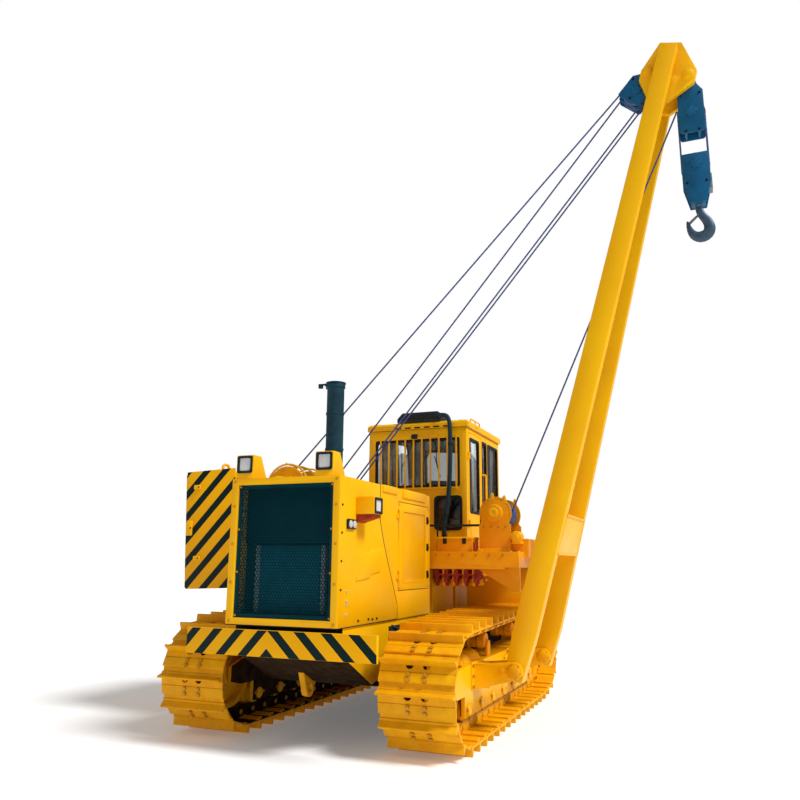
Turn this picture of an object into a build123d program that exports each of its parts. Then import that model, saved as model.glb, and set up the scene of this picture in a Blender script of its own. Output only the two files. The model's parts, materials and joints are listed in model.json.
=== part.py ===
"""Pipelayer: a crawler tractor with a side boom, winches and a swing-out counterweight.

Frame: millimetres, +X forward, +Y to the boom side (the machine's left), +Z up.
The origin is on the ground, midway between the two tracks.
"""
import math
import os
from typing import NamedTuple

from build123d import *

os.makedirs("parts", exist_ok=True)

CLEAR = 0.3
LEFT, RIGHT = 1, -1

# Tracks
GAUGE = 2350.0
SHOE_WIDTH = 720.0
SHOE_COUNT = 43
GROUSER_HEIGHT = 70.0
SHOE_THICK = 20.0
LINK_OUT = 65.0
LINK_IN = 55.0
RAIL_NEAR, RAIL_FAR = 70.0, 130.0
PIN_LINE = LINK_OUT + SHOE_THICK + GROUSER_HEIGHT
IDLER_X, IDLER_PIN_R = 1913.0, 415.0
SPROCKET_X, SPROCKET_PIN_R = -1655.0, 441.6
SPROCKET_LIFT = 35.0
LIFT_X = -1260.0
IDLER_Z = PIN_LINE + IDLER_PIN_R
SPROCKET_Z = PIN_LINE + SPROCKET_PIN_R + SPROCKET_LIFT
IDLER_TREAD_R = 342.5
ROLLER_R = 105.0
CARRIER_R = 85.0
TRACK_Y = GAUGE / 2

# Track frames and hull
BEAM_HALF = 190.0
BEAM_Z = (445.0, 720.0)
SKIRT = 40.0
HULL_TOP = 1122.0
HULL_BOTTOM = 520.0

# Hood
HOOD_X = (395.0, 2750.0)
HOOD_HALF = 578.0
HULL_HALF = HOOD_HALF - 18.0
HOOD_Z = (HULL_TOP, 2463.0)
HOOD_WALL = 45.0
GRILLE_HALF = HOOD_HALF - 73.0
GRILLE_Z = (1185.0, 2400.0)
ENGINE_DOOR_X = (420.0, 1370.0)
ENGINE_DOOR_Z = (1400.0, 2330.0)

# Saddle, tower and winches
SADDLE_X = (-620.0, 330.0)
SADDLE_Z = (1620.0, 1820.0)
SADDLE_LEFT, SADDLE_RIGHT = 1450.0, -1260.0
DECK_END = 1620.0
TOWER_FRONT = (980.0, 1010.0)
TOWER_REAR = (390.0, 420.0)
TOWER_BASE_Z = (1500.0, 1720.0)
TOWER_Y = (-1240.0, -HOOD_HALF - 22.0)
BOOM_DRUM_Y, BOOM_DRUM_Z = -1040.0, 2560.0
HOOK_DRUM_Y, HOOK_DRUM_Z = 1290.0, 2270.0
HOOK_PLATE_FRONT = (90.0, 115.0)
HOOK_PLATE_REAR = (-435.0, -410.0)
ROPE_R = 11.0
TOWER_BRACE = HOOD_HALF + 122.0

# Boom
BOOM_LEAN = 15.0
BOOM_X = 525.0
FOOT_Y, FOOT_Z = 1780.0, 670.0
FOOT_SPREAD = 680.0
FOOT_PIN_R = 45.0
HEAD_PIN_R = 40.0
LUFF_PIN = (-185.0, 6730.0)
LOAD_PIN = (270.0, 6700.0)
EAR_X = (112.0, 175.0)

# Counterweight
SWING_Y, SWING_Z = -1260.0, 1380.0
SWING_PIN_R = 35.0
CW_X = (-250.0, 1700.0)
CW_LEAN = 4.5
CW_THICK, CW_HEIGHT = 500.0, 1330.0
CW_CORNER = (-1332.0, 1440.0)
BARREL_Y, BARREL_Z = -815.0, 1800.0
ROD_EYE = (-1291.48, 1944.74)
CYLINDER_X = 700.0

# Cab
CAB_X = (-2339.0, -684.0)
CAB_HALF = 708.0
CAB_Z = (1820.0, 3478.0)
CAB_WALL = 60.0
ROOF_Z = 3578.0
CAB_DOOR_X = (-1360.0, -750.0)
CAB_DOOR_Z = (1900.0, 3420.0)
DOOR_GAP = 8.0
FRONT_WINDOW = (-CAB_HALF + 108.0, CAB_HALF - 108.0, 2690.0, 3330.0)
FOOT_WINDOW = (CAB_HALF - 443.0, CAB_HALF - 78.0, 2120.0, 2550.0)


def box(x0, x1, y0, y1, z0, z1):
    """Return a box between the given limits."""
    size = Box(abs(x1 - x0), abs(y1 - y0), abs(z1 - z0))
    return Pos((x0 + x1) / 2, (y0 + y1) / 2, (z0 + z1) / 2) * size


def rod_x(x0, x1, y, z, radius):
    """Return a cylinder along X."""
    return Pos((x0 + x1) / 2, y, z) * Rot(0, 90, 0) * Cylinder(radius, abs(x1 - x0))


def rod_y(x, y0, y1, z, radius):
    """Return a cylinder along Y."""
    return Pos(x, (y0 + y1) / 2, z) * Rot(90, 0, 0) * Cylinder(radius, abs(y1 - y0))


def wheel_y(x, y0, y1, z, radius, sides=20):
    """Return a many-sided wheel along Y, with few faces."""
    turns = [2 * math.pi * index / sides for index in range(sides)]
    return prism_y([(x + radius * math.cos(turn), z + radius * math.sin(turn)) for turn in turns], y0, y1)


def rod_z(x, y, z0, z1, radius):
    """Return a cylinder along Z."""
    return Pos(x, y, (z0 + z1) / 2) * Cylinder(radius, abs(z1 - z0))


def rod_between(start, end, radius):
    """Return a cylinder from one point to another."""
    a, b = Vector(*start), Vector(*end)
    plane = Plane(origin=a, z_dir=(b - a))
    return plane * Pos(0, 0, (b - a).length / 2) * Cylinder(radius, (b - a).length)


def prism_x(points, x0, x1):
    """Extrude a (y, z) outline along X."""
    face = make_face(Polyline(*[(x0, y, z) for y, z in points], close=True))
    return extrude(face, amount=x1 - x0, dir=(1, 0, 0))


def prism_y(points, y0, y1):
    """Extrude an (x, z) outline along Y."""
    face = make_face(Polyline(*[(x, y0, z) for x, z in points], close=True))
    return extrude(face, amount=y1 - y0, dir=(0, 1, 0))


def fuse(*shapes):
    """Join shapes that meet into one solid."""
    joined = shapes[0]
    for shape in shapes[1:]:
        joined = joined + shape
    return joined


def group(*shapes):
    """Keep shapes as separate solids of one node."""
    solids = []
    for shape in shapes:
        solids.extend(shape.solids())
    return Compound(children=[Solid(solid.wrapped) for solid in solids])


def save(name, shape):
    """Write one node."""
    export_step(shape, f"parts/{name}.step")


# Track loops


class Pin(NamedTuple):
    """One chain pin: its place on the loop and the outward direction there."""

    x: float
    z: float
    out_x: float
    out_z: float


def chain_pins():
    """Return the pins of one chain, evenly spaced round the loop."""
    reach = math.hypot(SPROCKET_X - LIFT_X, SPROCKET_PIN_R + SPROCKET_LIFT)
    # The lift line leaves the ground run at the last roller and meets the sprocket.
    tangent = math.sqrt(reach ** 2 - SPROCKET_PIN_R ** 2)
    to_centre = math.atan2(SPROCKET_Z - PIN_LINE, SPROCKET_X - LIFT_X)
    lift = to_centre + math.asin(SPROCKET_PIN_R / reach)
    rise = (math.cos(lift), math.sin(lift))
    # The top line touches both wheels from above.
    span = math.hypot(IDLER_X - SPROCKET_X, IDLER_Z - SPROCKET_Z)
    slope = math.atan2(IDLER_Z - SPROCKET_Z, IDLER_X - SPROCKET_X)
    tilt = slope + math.asin((SPROCKET_PIN_R - IDLER_PIN_R) / span) * -1
    top_run = math.sqrt(span ** 2 - (SPROCKET_PIN_R - IDLER_PIN_R) ** 2)
    top_out = tilt + math.pi / 2
    ground = IDLER_X - LIFT_X
    low_angle = math.atan2(rise[1], rise[0]) + math.pi / 2
    sweep_sprocket = (low_angle - top_out) % (2 * math.pi)
    sweep_idler = (top_out + math.pi / 2) % (2 * math.pi)
    lengths = (ground, tangent, sweep_sprocket * SPROCKET_PIN_R, top_run, sweep_idler * IDLER_PIN_R)
    pitch = sum(lengths) / SHOE_COUNT
    first = ground % pitch
    pins = []
    for index in range(SHOE_COUNT):
        s = first + pitch * index
        if s <= lengths[0] + 0.01:
            pins.append(Pin(IDLER_X - s, PIN_LINE, 0.0, -1.0))
            continue
        s -= lengths[0]
        if s < lengths[1]:
            out = low_angle
            x = LIFT_X + rise[0] * s
            z = PIN_LINE + rise[1] * s
            pins.append(Pin(x, z, math.cos(out), math.sin(out)))
            continue
        s -= lengths[1]
        if s < lengths[2]:
            out = low_angle - s / SPROCKET_PIN_R
            x = SPROCKET_X + SPROCKET_PIN_R * math.cos(out)
            z = SPROCKET_Z + SPROCKET_PIN_R * math.sin(out)
            pins.append(Pin(x, z, math.cos(out), math.sin(out)))
            continue
        s -= lengths[2]
        if s < lengths[3]:
            x = SPROCKET_X + SPROCKET_PIN_R * math.cos(top_out) + s * math.cos(tilt)
            z = SPROCKET_Z + SPROCKET_PIN_R * math.sin(top_out) + s * math.sin(tilt)
            pins.append(Pin(x, z, math.cos(top_out), math.sin(top_out)))
            continue
        s -= lengths[3]
        out = top_out - s / IDLER_PIN_R
        x = IDLER_X + IDLER_PIN_R * math.cos(out)
        z = IDLER_Z + IDLER_PIN_R * math.sin(out)
        pins.append(Pin(x, z, math.cos(out), math.sin(out)))
    return pins


PINS = chain_pins()
# Outline of one shoe: share of the pitch along it, distance out from the pin line.
SHOE_OUTLINE = (
    (0.02, LINK_OUT + SHOE_THICK),
    (0.10, LINK_OUT + SHOE_THICK),
    (0.14, PIN_LINE),
    (0.23, PIN_LINE),
    (0.30, LINK_OUT + SHOE_THICK),
    (0.98, LINK_OUT + SHOE_THICK),
)


def loop_at(distance):
    """Return the closed loop at one distance out from the pins."""
    return [(pin.x + pin.out_x * distance, pin.z + pin.out_z * distance) for pin in PINS]


def shoe_loop():
    """Return the outline of all the shoes with their grousers."""
    points = []
    for index, pin in enumerate(PINS):
        following = PINS[(index + 1) % SHOE_COUNT]
        along_x, along_z = following.x - pin.x, following.z - pin.z
        length = math.hypot(along_x, along_z)
        out_x, out_z = along_z / length * -1, along_x / length
        if out_x * pin.out_x + out_z * pin.out_z < 0:
            out_x, out_z = -out_x, -out_z
        for share, distance in SHOE_OUTLINE:
            x = pin.x + along_x * share + out_x * distance
            z = pin.z + along_z * share + out_z * distance
            points.append((x, z))
    return points


def ring_y(outer, inner, y0, y1):
    """Extrude the ring between two (x, z) loops along Y."""
    outside = make_face(Polyline(*[(x, y0, z) for x, z in outer], close=True))
    inside = make_face(Polyline(*[(x, y0, z) for x, z in inner], close=True))
    return extrude(outside - inside, amount=y1 - y0, dir=(0, 1, 0))


def make_track(side):
    """Return one track: shoes, grousers and both link rails as one loop."""
    centre = side * TRACK_Y
    half = SHOE_WIDTH / 2
    shape = ring_y(shoe_loop(), loop_at(LINK_OUT), centre - half, centre + half)
    for near, far in ((RAIL_NEAR, RAIL_FAR), (-RAIL_FAR, -RAIL_NEAR)):
        shape = shape + ring_y(loop_at(LINK_OUT + 2), loop_at(-LINK_IN), centre + near, centre + far)
    return shape


save("track_left", make_track(LEFT))
save("track_right", make_track(RIGHT))


# Running gear


def make_sprocket(side):
    """Return a toothed drive wheel between the link rails."""
    centre = side * TRACK_Y
    first = math.atan2(PINS[16].z - SPROCKET_Z, PINS[16].x - SPROCKET_X)
    points = []
    for tooth in range(12):
        middle = first + (tooth + 0.5) * math.pi / 6
        for offset, radius in ((-0.21, 388.0), (-0.07, 452.0), (0.07, 452.0), (0.21, 388.0)):
            angle = middle + offset
            points.append((SPROCKET_X + radius * math.cos(angle), SPROCKET_Z + radius * math.sin(angle)))
    return prism_y(points, centre - 45, centre + 45)


def make_idler(side):
    """Return a front wheel with its guide rim and its shaft."""
    centre = side * TRACK_Y
    return fuse(
        rod_y(IDLER_X, centre - RAIL_FAR, centre + RAIL_FAR, IDLER_Z, IDLER_TREAD_R),
        rod_y(IDLER_X, centre - 60, centre + 60, IDLER_Z, IDLER_TREAD_R + 30),
        rod_y(IDLER_X, centre - BEAM_HALF + SKIRT, centre + BEAM_HALF - SKIRT, IDLER_Z, 70),
    )


ROLLERS = [IDLER_X - 450.0 - 434.0 * index for index in range(7)]
CARRIERS = (620.0, -560.0)


def top_pin_z(x):
    """Return the height of the top run's pin line at one place."""
    share = (IDLER_X - x) / (IDLER_X - SPROCKET_X)
    return PIN_LINE + 2 * IDLER_PIN_R + share * (SPROCKET_Z + SPROCKET_PIN_R - PIN_LINE - 2 * IDLER_PIN_R)


def make_rollers():
    """Return the track rollers and the carrier rollers of both sides."""
    rollers = []
    low = PIN_LINE + LINK_IN + ROLLER_R + CLEAR
    for side in (LEFT, RIGHT):
        centre = side * TRACK_Y
        for x in ROLLERS:
            rollers.append(fuse(
                wheel_y(x, centre - 135, centre + 135, low, ROLLER_R),
                wheel_y(x, centre - 60, centre + 60, low, ROLLER_R + 20),
                wheel_y(x, centre - BEAM_HALF + SKIRT, centre + BEAM_HALF - SKIRT, low, 45),
            ))
        for x in CARRIERS:
            z = top_pin_z(x) - LINK_IN - CARRIER_R - 3
            rollers.append(fuse(
                wheel_y(x, centre - 135, centre + 135, z, CARRIER_R),
                wheel_y(x, *sorted((centre - side * 130, centre - side * 180)), z, 40),
            ))
    return group(*rollers)


save("sprockets", group(make_sprocket(LEFT), make_sprocket(RIGHT)))
save("idlers", group(make_idler(LEFT), make_idler(RIGHT)))
save("track_rollers", make_rollers())


def make_track_frame(side):
    """Return one track frame with its roller skirts, idler yoke and carrier posts."""
    centre = side * TRACK_Y
    inner, outer = centre - BEAM_HALF, centre + BEAM_HALF
    frame = box(-1185, IDLER_X - 390, inner, outer, *BEAM_Z)
    for y0, y1 in ((inner, inner + SKIRT), (outer - SKIRT, outer)):
        frame = frame + box(-1290, IDLER_X - 330, y0, y1, 250, BEAM_Z[0] + 5)
        nose = [(IDLER_X - 400, 450), (IDLER_X - 400, 720), (IDLER_X - 100, 700), (IDLER_X + 90, 640),
                (IDLER_X + 90, 500), (IDLER_X - 100, 450)]
        frame = frame + prism_y(nose, y0, y1)
    for x in CARRIERS:
        near = centre - side * 180
        far = centre - side * 215
        post_top = top_pin_z(x) - LINK_IN - CARRIER_R + 45
        frame = frame + box(x - 60, x + 60, near, far, BEAM_Z[0] + 100, post_top)
        frame = frame + box(x - 60, x + 60, near + side * 20, far, BEAM_Z[0] + 100, BEAM_Z[1])
    return frame


class Ear(NamedTuple):
    """One bracket plate of the boom feet, between two X limits."""

    x0: float
    x1: float


LEG_HALF = 75.0
EAR_GAP = 6.0
EAR_THICK = 38.0


def foot_ears():
    """Return the bracket plates on both sides of each boom foot."""
    ears = []
    for sign in (1, -1):
        middle = BOOM_X + sign * FOOT_SPREAD
        ears.append(Ear(middle - LEG_HALF - EAR_GAP - EAR_THICK, middle - LEG_HALF - EAR_GAP))
        ears.append(Ear(middle + LEG_HALF + EAR_GAP, middle + LEG_HALF + EAR_GAP + EAR_THICK))
    return ears


frame_left = make_track_frame(LEFT)
beam_out = TRACK_Y + BEAM_HALF
for ear in foot_ears():
    outline = [(beam_out - 5, 470), (beam_out - 5, 715), (FOOT_Y, FOOT_Z + 85), (FOOT_Y, FOOT_Z - 85)]
    frame_left = frame_left + prism_x(outline, ear.x0, ear.x1)
    frame_left = frame_left + rod_x(ear.x0, ear.x1, FOOT_Y, FOOT_Z, 85)
for sign in (1, -1):
    middle = BOOM_X + sign * FOOT_SPREAD
    half = LEG_HALF + EAR_GAP + EAR_THICK
    frame_left = frame_left + rod_x(middle - half - 30, middle + half + 30, FOOT_Y, FOOT_Z, FOOT_PIN_R)
    frame_left = frame_left + box(middle - half, middle + half, beam_out - 5, FOOT_Y - 250, 500, 700)
save("track_frame_left", frame_left)
save("track_frame_right", make_track_frame(RIGHT))

# Hull, drives and tractor frame
hull_side = [
    (2600, HULL_TOP), (2600, 880), (1960, HULL_BOTTOM + 40), (1800, HULL_BOTTOM), (-1500, HULL_BOTTOM),
    (-1980, 700), (-2100, 1050), (-2100, 1500), (-640, 1500), (-640, HULL_TOP),
]
hull = prism_y(hull_side, -HULL_HALF, HULL_HALF)
for side in (LEFT, RIGHT):
    inside = side * (TRACK_Y - BEAM_HALF)
    hull = hull + box(850, 1090, side * (HULL_HALF - 5), inside, 540, 700)
    hull = hull + box(-1060, -820, side * (HULL_HALF - 5), inside, 540, 700)
    hull = hull + box(-520, 240, side * 360, side * HULL_HALF, HULL_TOP - 5, SADDLE_Z[0])
save("main_frame", hull)

drives = []
for side in (LEFT, RIGHT):
    inner_face = side * (TRACK_Y - 45)
    outer_face = side * (TRACK_Y + 45)
    drives.append(rod_y(SPROCKET_X, side * HULL_HALF, inner_face, SPROCKET_Z, 300))
    drives.append(fuse(
        rod_y(SPROCKET_X, outer_face, side * (TRACK_Y + 190), SPROCKET_Z, 235),
        rod_y(SPROCKET_X, side * (TRACK_Y + 185), side * (TRACK_Y + 240), SPROCKET_Z, 150),
    ))
save("final_drives", group(*drives))

TANK_REAR = -2790.0
DRAWBAR_X = TANK_REAR - 95.0
DRAWBAR_PIN_R = 35.0
drawbar = fuse(
    box(-1900, TANK_REAR, -160, 160, 640, 900),
    box(TANK_REAR + 10, DRAWBAR_X - 115, -110, 110, 840, 890),
    box(TANK_REAR + 10, DRAWBAR_X - 115, -110, 110, 690, 740),
)
drawbar = drawbar - prism_y(hull_side, -200, 200)
drawbar = drawbar - rod_z(DRAWBAR_X, 0, 600, 950, DRAWBAR_PIN_R)
save("drawbar", drawbar)

TOW_EYE_X, TOW_EYE_Z, TOW_EYE_R = 2000.0, 500.0, 35.0
TOW_EYE_Y = (-130.0, -70.0)
tow_eye = fuse(
    prism_y([(TOW_EYE_X - 120, HULL_BOTTOM + 50), (TOW_EYE_X + 170, HULL_BOTTOM + 190),
             (TOW_EYE_X + 84, TOW_EYE_Z), (TOW_EYE_X - 84, TOW_EYE_Z)], *TOW_EYE_Y),
    rod_y(TOW_EYE_X, *TOW_EYE_Y, TOW_EYE_Z, 85),
)
tow_eye = tow_eye - prism_y(hull_side, TOW_EYE_Y[0] - 10, TOW_EYE_Y[1] + 10)
tow_eye = tow_eye - rod_y(TOW_EYE_X, TOW_EYE_Y[0] - 10, TOW_EYE_Y[1] + 10, TOW_EYE_Z, TOW_EYE_R)
save("front_tow_eye", tow_eye)

BUMPER_HALF, BUMPER_Z = 972.0, (858.0, 1087.0)
bumper = fuse(
    box(2742, 2782, -BUMPER_HALF, BUMPER_HALF, *BUMPER_Z),
    box(2600, 2745, -520, 520, 900, 1070),
)
save("front_bumper", bumper)

# Hood
shell = box(*HOOD_X, -HOOD_HALF, HOOD_HALF, *HOOD_Z)
shell = shell - box(HOOD_X[0] + HOOD_WALL, HOOD_X[1] - 60, -HOOD_HALF + HOOD_WALL, HOOD_HALF - HOOD_WALL,
                    HOOD_Z[0] - 10, HOOD_Z[1] - HOOD_WALL)
shell = shell - box(HOOD_X[1] - 80, HOOD_X[1] + 10, -GRILLE_HALF, GRILLE_HALF, *GRILLE_Z)
seam = [(1850, 2600), (1850, 2110), (1740, 1870), (1380, 1260), (1380, 1000), (2900, 1000), (2900, 2600)]
front_block = prism_y(seam, -HOOD_HALF - 50, HOOD_HALF + 50)
guard = shell & front_block
hood = shell - front_block
emblem = [(2400, 1545), (2330, 1760), (1770, 1830), (1840, 1600)]
guard = guard + prism_y(emblem, HOOD_HALF - 5, HOOD_HALF + 12)
hood = hood - box(*ENGINE_DOOR_X, HOOD_HALF - HOOD_WALL - 10, HOOD_HALF + 10, *ENGINE_DOOR_Z)


class Hinge(NamedTuple):
    """One knuckle pair of a vertical hinge: its lower end."""

    z: float


KNUCKLE_R = 16.0
KNUCKLE_H = 45.0


def hinge_fixed(x, y, side, hinges, jamb_x):
    """Return the knuckles on the fixed side, under the leaf's own."""
    parts = []
    for hinge in hinges:
        parts.append(rod_z(x, y, hinge.z, hinge.z + KNUCKLE_H, KNUCKLE_R))
        parts.append(box(x, jamb_x, y - side * 17.5, y - side * 5, hinge.z, hinge.z + KNUCKLE_H))
    return parts


def hinge_moving(x, y, side, hinges, leaf_x):
    """Return the knuckles on the leaf."""
    parts = []
    for hinge in hinges:
        z0 = hinge.z + KNUCKLE_H + CLEAR
        z1 = z0 + KNUCKLE_H
        parts.append(rod_z(x, y, z0, z1, KNUCKLE_R))
        parts.append(box(x, leaf_x, y - side * 17.5, y - side * 5, z0, z1))
    return parts


ENGINE_HINGES = (Hinge(1520.0), Hinge(2150.0))
ENGINE_HINGE_X, ENGINE_HINGE_Y = ENGINE_DOOR_X[1] - 3, HOOD_HALF + 17.0
for piece in hinge_fixed(ENGINE_HINGE_X, ENGINE_HINGE_Y, LEFT, ENGINE_HINGES, ENGINE_HINGE_X + 60):
    hood = hood + piece
save("radiator_guard", guard)
save("engine_hood", hood)

leaf = box(ENGINE_DOOR_X[0] + DOOR_GAP, ENGINE_DOOR_X[1] - DOOR_GAP, HOOD_HALF - 30, HOOD_HALF,
           ENGINE_DOOR_Z[0] + DOOR_GAP, ENGINE_DOOR_Z[1] - DOOR_GAP)
leaf = leaf - box(ENGINE_DOOR_X[0] + 130, ENGINE_DOOR_X[1] - 130, HOOD_HALF - 8, HOOD_HALF + 5,
                  ENGINE_DOOR_Z[0] + 90, ENGINE_DOOR_Z[1] - 90)
leaf = fuse(leaf, *hinge_moving(ENGINE_HINGE_X, ENGINE_HINGE_Y, LEFT, ENGINE_HINGES, ENGINE_HINGE_X - 60))
save("engine_door", leaf)

grille = box(HOOD_X[1] - 35, HOOD_X[1] - 15, -GRILLE_HALF, GRILLE_HALF, *GRILLE_Z)
for row in range(4):
    z0 = GRILLE_Z[0] + 50 + row * 285
    for column in range(10):
        y0 = -GRILLE_HALF + 45 + column * 93
        grille = grille - box(HOOD_X[1] - 50, HOOD_X[1], y0, y0 + 75, z0, z0 + 260)
save("grille", grille)
save("radiator", box(2420, 2580, -HOOD_HALF + HOOD_WALL, HOOD_HALF - HOOD_WALL, HULL_TOP, 2400))
save("engine_block", fuse(box(560, 1960, -330, 330, HULL_TOP, 1780), box(640, 1880, -240, 240, 1775, 2150)))

# Lamps: centre across the hood of each lamp box.
HOOD_LAMPS = (-455.0, 400.0)
LAMP_HALF = 95.0
housings, lenses = [], []
for y in HOOD_LAMPS:
    outline = [(2735, HOOD_Z[1]), (2735, 2690), (2600, 2690), (2480, HOOD_Z[1])]
    shape = prism_y(outline, y - LAMP_HALF, y + LAMP_HALF)
    shape = shape - box(2715, 2740, y - 70, y + 70, 2530, 2670)
    housings.append(shape)
    lenses.append(box(2715, 2731, y - 70, y + 70, 2530, 2670))
SIDE_LAMP_X, SIDE_LAMP_Z = (2240.0, 2420.0), (2130.0, 2290.0)
SIDE_LAMP_END = HOOD_HALF + 192.0
side_lamp = box(*SIDE_LAMP_X, HOOD_HALF, SIDE_LAMP_END, *SIDE_LAMP_Z)
side_lamp = side_lamp - box(SIDE_LAMP_X[0] + 20, SIDE_LAMP_X[1] - 20, SIDE_LAMP_END - 20, SIDE_LAMP_END + 10,
                            SIDE_LAMP_Z[0] + 20, SIDE_LAMP_Z[1] - 20)
housings.append(side_lamp)
lenses.append(box(SIDE_LAMP_X[0] + 20, SIDE_LAMP_X[1] - 20, SIDE_LAMP_END - 20, SIDE_LAMP_END - 4,
                  SIDE_LAMP_Z[0] + 20, SIDE_LAMP_Z[1] - 20))
save("lamp_housings", group(*housings))
save("lamp_lenses", group(*lenses))

# Exhaust
STACK_X, STACK_Y, STACK_R, STACK_TOP = 1500.0, -137.0, 96.0, 3640.0
CAP_R = STACK_R + 16
stack = fuse(
    rod_z(STACK_X, STACK_Y, HOOD_Z[1], 2500, 130),
    rod_z(STACK_X, STACK_Y, 2495, STACK_TOP, STACK_R),
    rod_z(STACK_X, STACK_Y, STACK_TOP - 46, STACK_TOP, CAP_R - 6),
)
stack = stack - rod_z(STACK_X, STACK_Y, 2900, STACK_TOP + 10, STACK_R - 8)
CAP_HINGE_Y, CAP_HINGE_Z = STACK_Y - CAP_R - 16, STACK_TOP - 4
stack = stack + box(STACK_X - 45, STACK_X - 25, CAP_HINGE_Y - 12, STACK_Y - STACK_R,
                    STACK_TOP - 40, STACK_TOP)
stack = stack + rod_x(STACK_X - 45, STACK_X - 25, CAP_HINGE_Y, CAP_HINGE_Z, 12)
save("exhaust_stack", stack)
cap = fuse(
    rod_z(STACK_X, STACK_Y, STACK_TOP + CLEAR, STACK_TOP + 14, CAP_R),
    box(STACK_X - 12, STACK_X + 12, CAP_HINGE_Y - 60, STACK_Y - 40, STACK_TOP + CLEAR, STACK_TOP + 16),
    box(STACK_X - 18, STACK_X + 18, CAP_HINGE_Y - 85, CAP_HINGE_Y - 40, STACK_TOP - 34, STACK_TOP + 16),
    rod_x(STACK_X - 12, STACK_X + 12, CAP_HINGE_Y, CAP_HINGE_Z, 12),
)
save("rain_cap", cap)

# Saddle across the tractor, between the hood and the cab
saddle = box(*SADDLE_X, SADDLE_RIGHT, SADDLE_LEFT, *SADDLE_Z)
saddle = saddle + box(-300, SADDLE_X[1], SADDLE_LEFT - 5, DECK_END, SADDLE_Z[0] + 20, SADDLE_Z[1])
saddle = saddle + box(-300, HOOK_PLATE_FRONT[0] - 10, SADDLE_LEFT - 20, DECK_END + 60,
                      SADDLE_Z[1] - 60, SADDLE_Z[1] + 150)
GUSSET_Z = SADDLE_Z[0] - 240.0
for x in (-260.0, 240.0):
    gusset = [(SADDLE_LEFT - 330, SADDLE_Z[0] + 5), (DECK_END - 5, SADDLE_Z[0] + 25),
              (DECK_END - 5, GUSSET_Z), (DECK_END - 90, GUSSET_Z)]
    saddle = saddle + prism_x(gusset, x, x + 40)
for y in (700, 820, 940, 1060):
    saddle = saddle + box(-100, 300, y, y + 30, SADDLE_Z[0] - 190, SADDLE_Z[0] + 5)
save("saddle_frame", saddle)
save("tool_box", box(-60, 200, 600, 1040, SADDLE_Z[1], SADDLE_Z[1] + 165))

# Hook winch on the left end of the saddle
ARCH_R = 165.0
arch = [math.radians(180 - 15 * step) for step in range(13)]
HOOK_BASE = 190.0
plate = [(HOOK_DRUM_Y - HOOK_BASE, SADDLE_Z[1]), (HOOK_DRUM_Y - HOOK_BASE, HOOK_DRUM_Z - 140),
         (HOOK_DRUM_Y - ARCH_R, HOOK_DRUM_Z - 115)]
plate += [(HOOK_DRUM_Y + ARCH_R * math.cos(turn), HOOK_DRUM_Z + ARCH_R * math.sin(turn)) for turn in arch]
plate += [(HOOK_DRUM_Y + ARCH_R, HOOK_DRUM_Z - 115), (HOOK_DRUM_Y + HOOK_BASE, HOOK_DRUM_Z - 140),
          (HOOK_DRUM_Y + HOOK_BASE, SADDLE_Z[1])]
hook_frame = [prism_x(plate, *HOOK_PLATE_FRONT), prism_x(plate, *HOOK_PLATE_REAR)]
DRUM_SHAFT_R = 45.0
tie = rod_x(HOOK_PLATE_REAR[1] - 5, HOOK_PLATE_FRONT[0] + 5, 1130, 1930, 30)
winch_frame = fuse(hook_frame[0], tie, hook_frame[1])
winch_frame = winch_frame + rod_x(HOOK_PLATE_FRONT[1] - 5, HOOK_PLATE_FRONT[1] + 55,
                                  HOOK_DRUM_Y, HOOK_DRUM_Z, 85)
winch_frame = winch_frame + rod_x(HOOK_PLATE_REAR[0] - 150, HOOK_PLATE_REAR[0] + 5,
                                  HOOK_DRUM_Y, HOOK_DRUM_Z, 110)
winch_frame = winch_frame - rod_x(HOOK_PLATE_REAR[0] - 60, HOOK_PLATE_FRONT[1] + 30, HOOK_DRUM_Y, HOOK_DRUM_Z,
                                  DRUM_SHAFT_R + CLEAR)
save("hook_winch_frame", winch_frame)


def make_drum(x0, x1, y, z, core, wound, flange, shaft):
    """Return a winch drum with two flanges, its wound rope and its shaft."""
    return fuse(
        rod_x(x0, x1, y, z, core),
        rod_x(x0 + 20, x1 - 20, y, z, wound),
        rod_x(x0, x0 + 22, y, z, flange),
        rod_x(x1 - 22, x1, y, z, flange),
        rod_x(shaft[0], shaft[1], y, z, DRUM_SHAFT_R),
    )


HOOK_WOUND_R, BOOM_WOUND_R = 150.0, 190.0
save("hook_drum", make_drum(HOOK_PLATE_REAR[1] + 8, HOOK_PLATE_FRONT[0] - 8, HOOK_DRUM_Y, HOOK_DRUM_Z,
                            110, HOOK_WOUND_R, 195, (HOOK_PLATE_REAR[0] - 55, HOOK_PLATE_FRONT[1] + 25)))

# Tower on the right: boom winch, lower boom block and counterweight hinge
tower_plate = [(-1230, 1715), (-1230, 1900), (-1180, 2300), (-1180, 2620), (-1110, 2690), (-970, 2690),
               (-900, 2620), (-760, 2100), (-730, 1715)]
tower = box(SADDLE_X[1], 1150, *TOWER_Y, *TOWER_BASE_Z)
tower = tower + prism_x(tower_plate, *TOWER_FRONT) + prism_x(tower_plate, *TOWER_REAR)
tower = tower + box(TOWER_REAR[0], TOWER_FRONT[1], -760, -735, 1715, 1980)
tower = tower + rod_x(TOWER_FRONT[1] - 5, TOWER_FRONT[1] + 190, BOOM_DRUM_Y, BOOM_DRUM_Z, 110)
tower = tower - rod_x(TOWER_REAR[0] - 5, TOWER_FRONT[1] + 60, BOOM_DRUM_Y, BOOM_DRUM_Z, DRUM_SHAFT_R + CLEAR)
brace_in = -HOOD_HALF - 7
brace = [(-HULL_HALF, 940), (-HULL_HALF, 1115), (brace_in, 1115), (brace_in, 1460), (-TOWER_BRACE, 1460),
         (-TOWER_BRACE, 940)]
tower = tower + prism_x(brace, 480, 1000)
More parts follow.
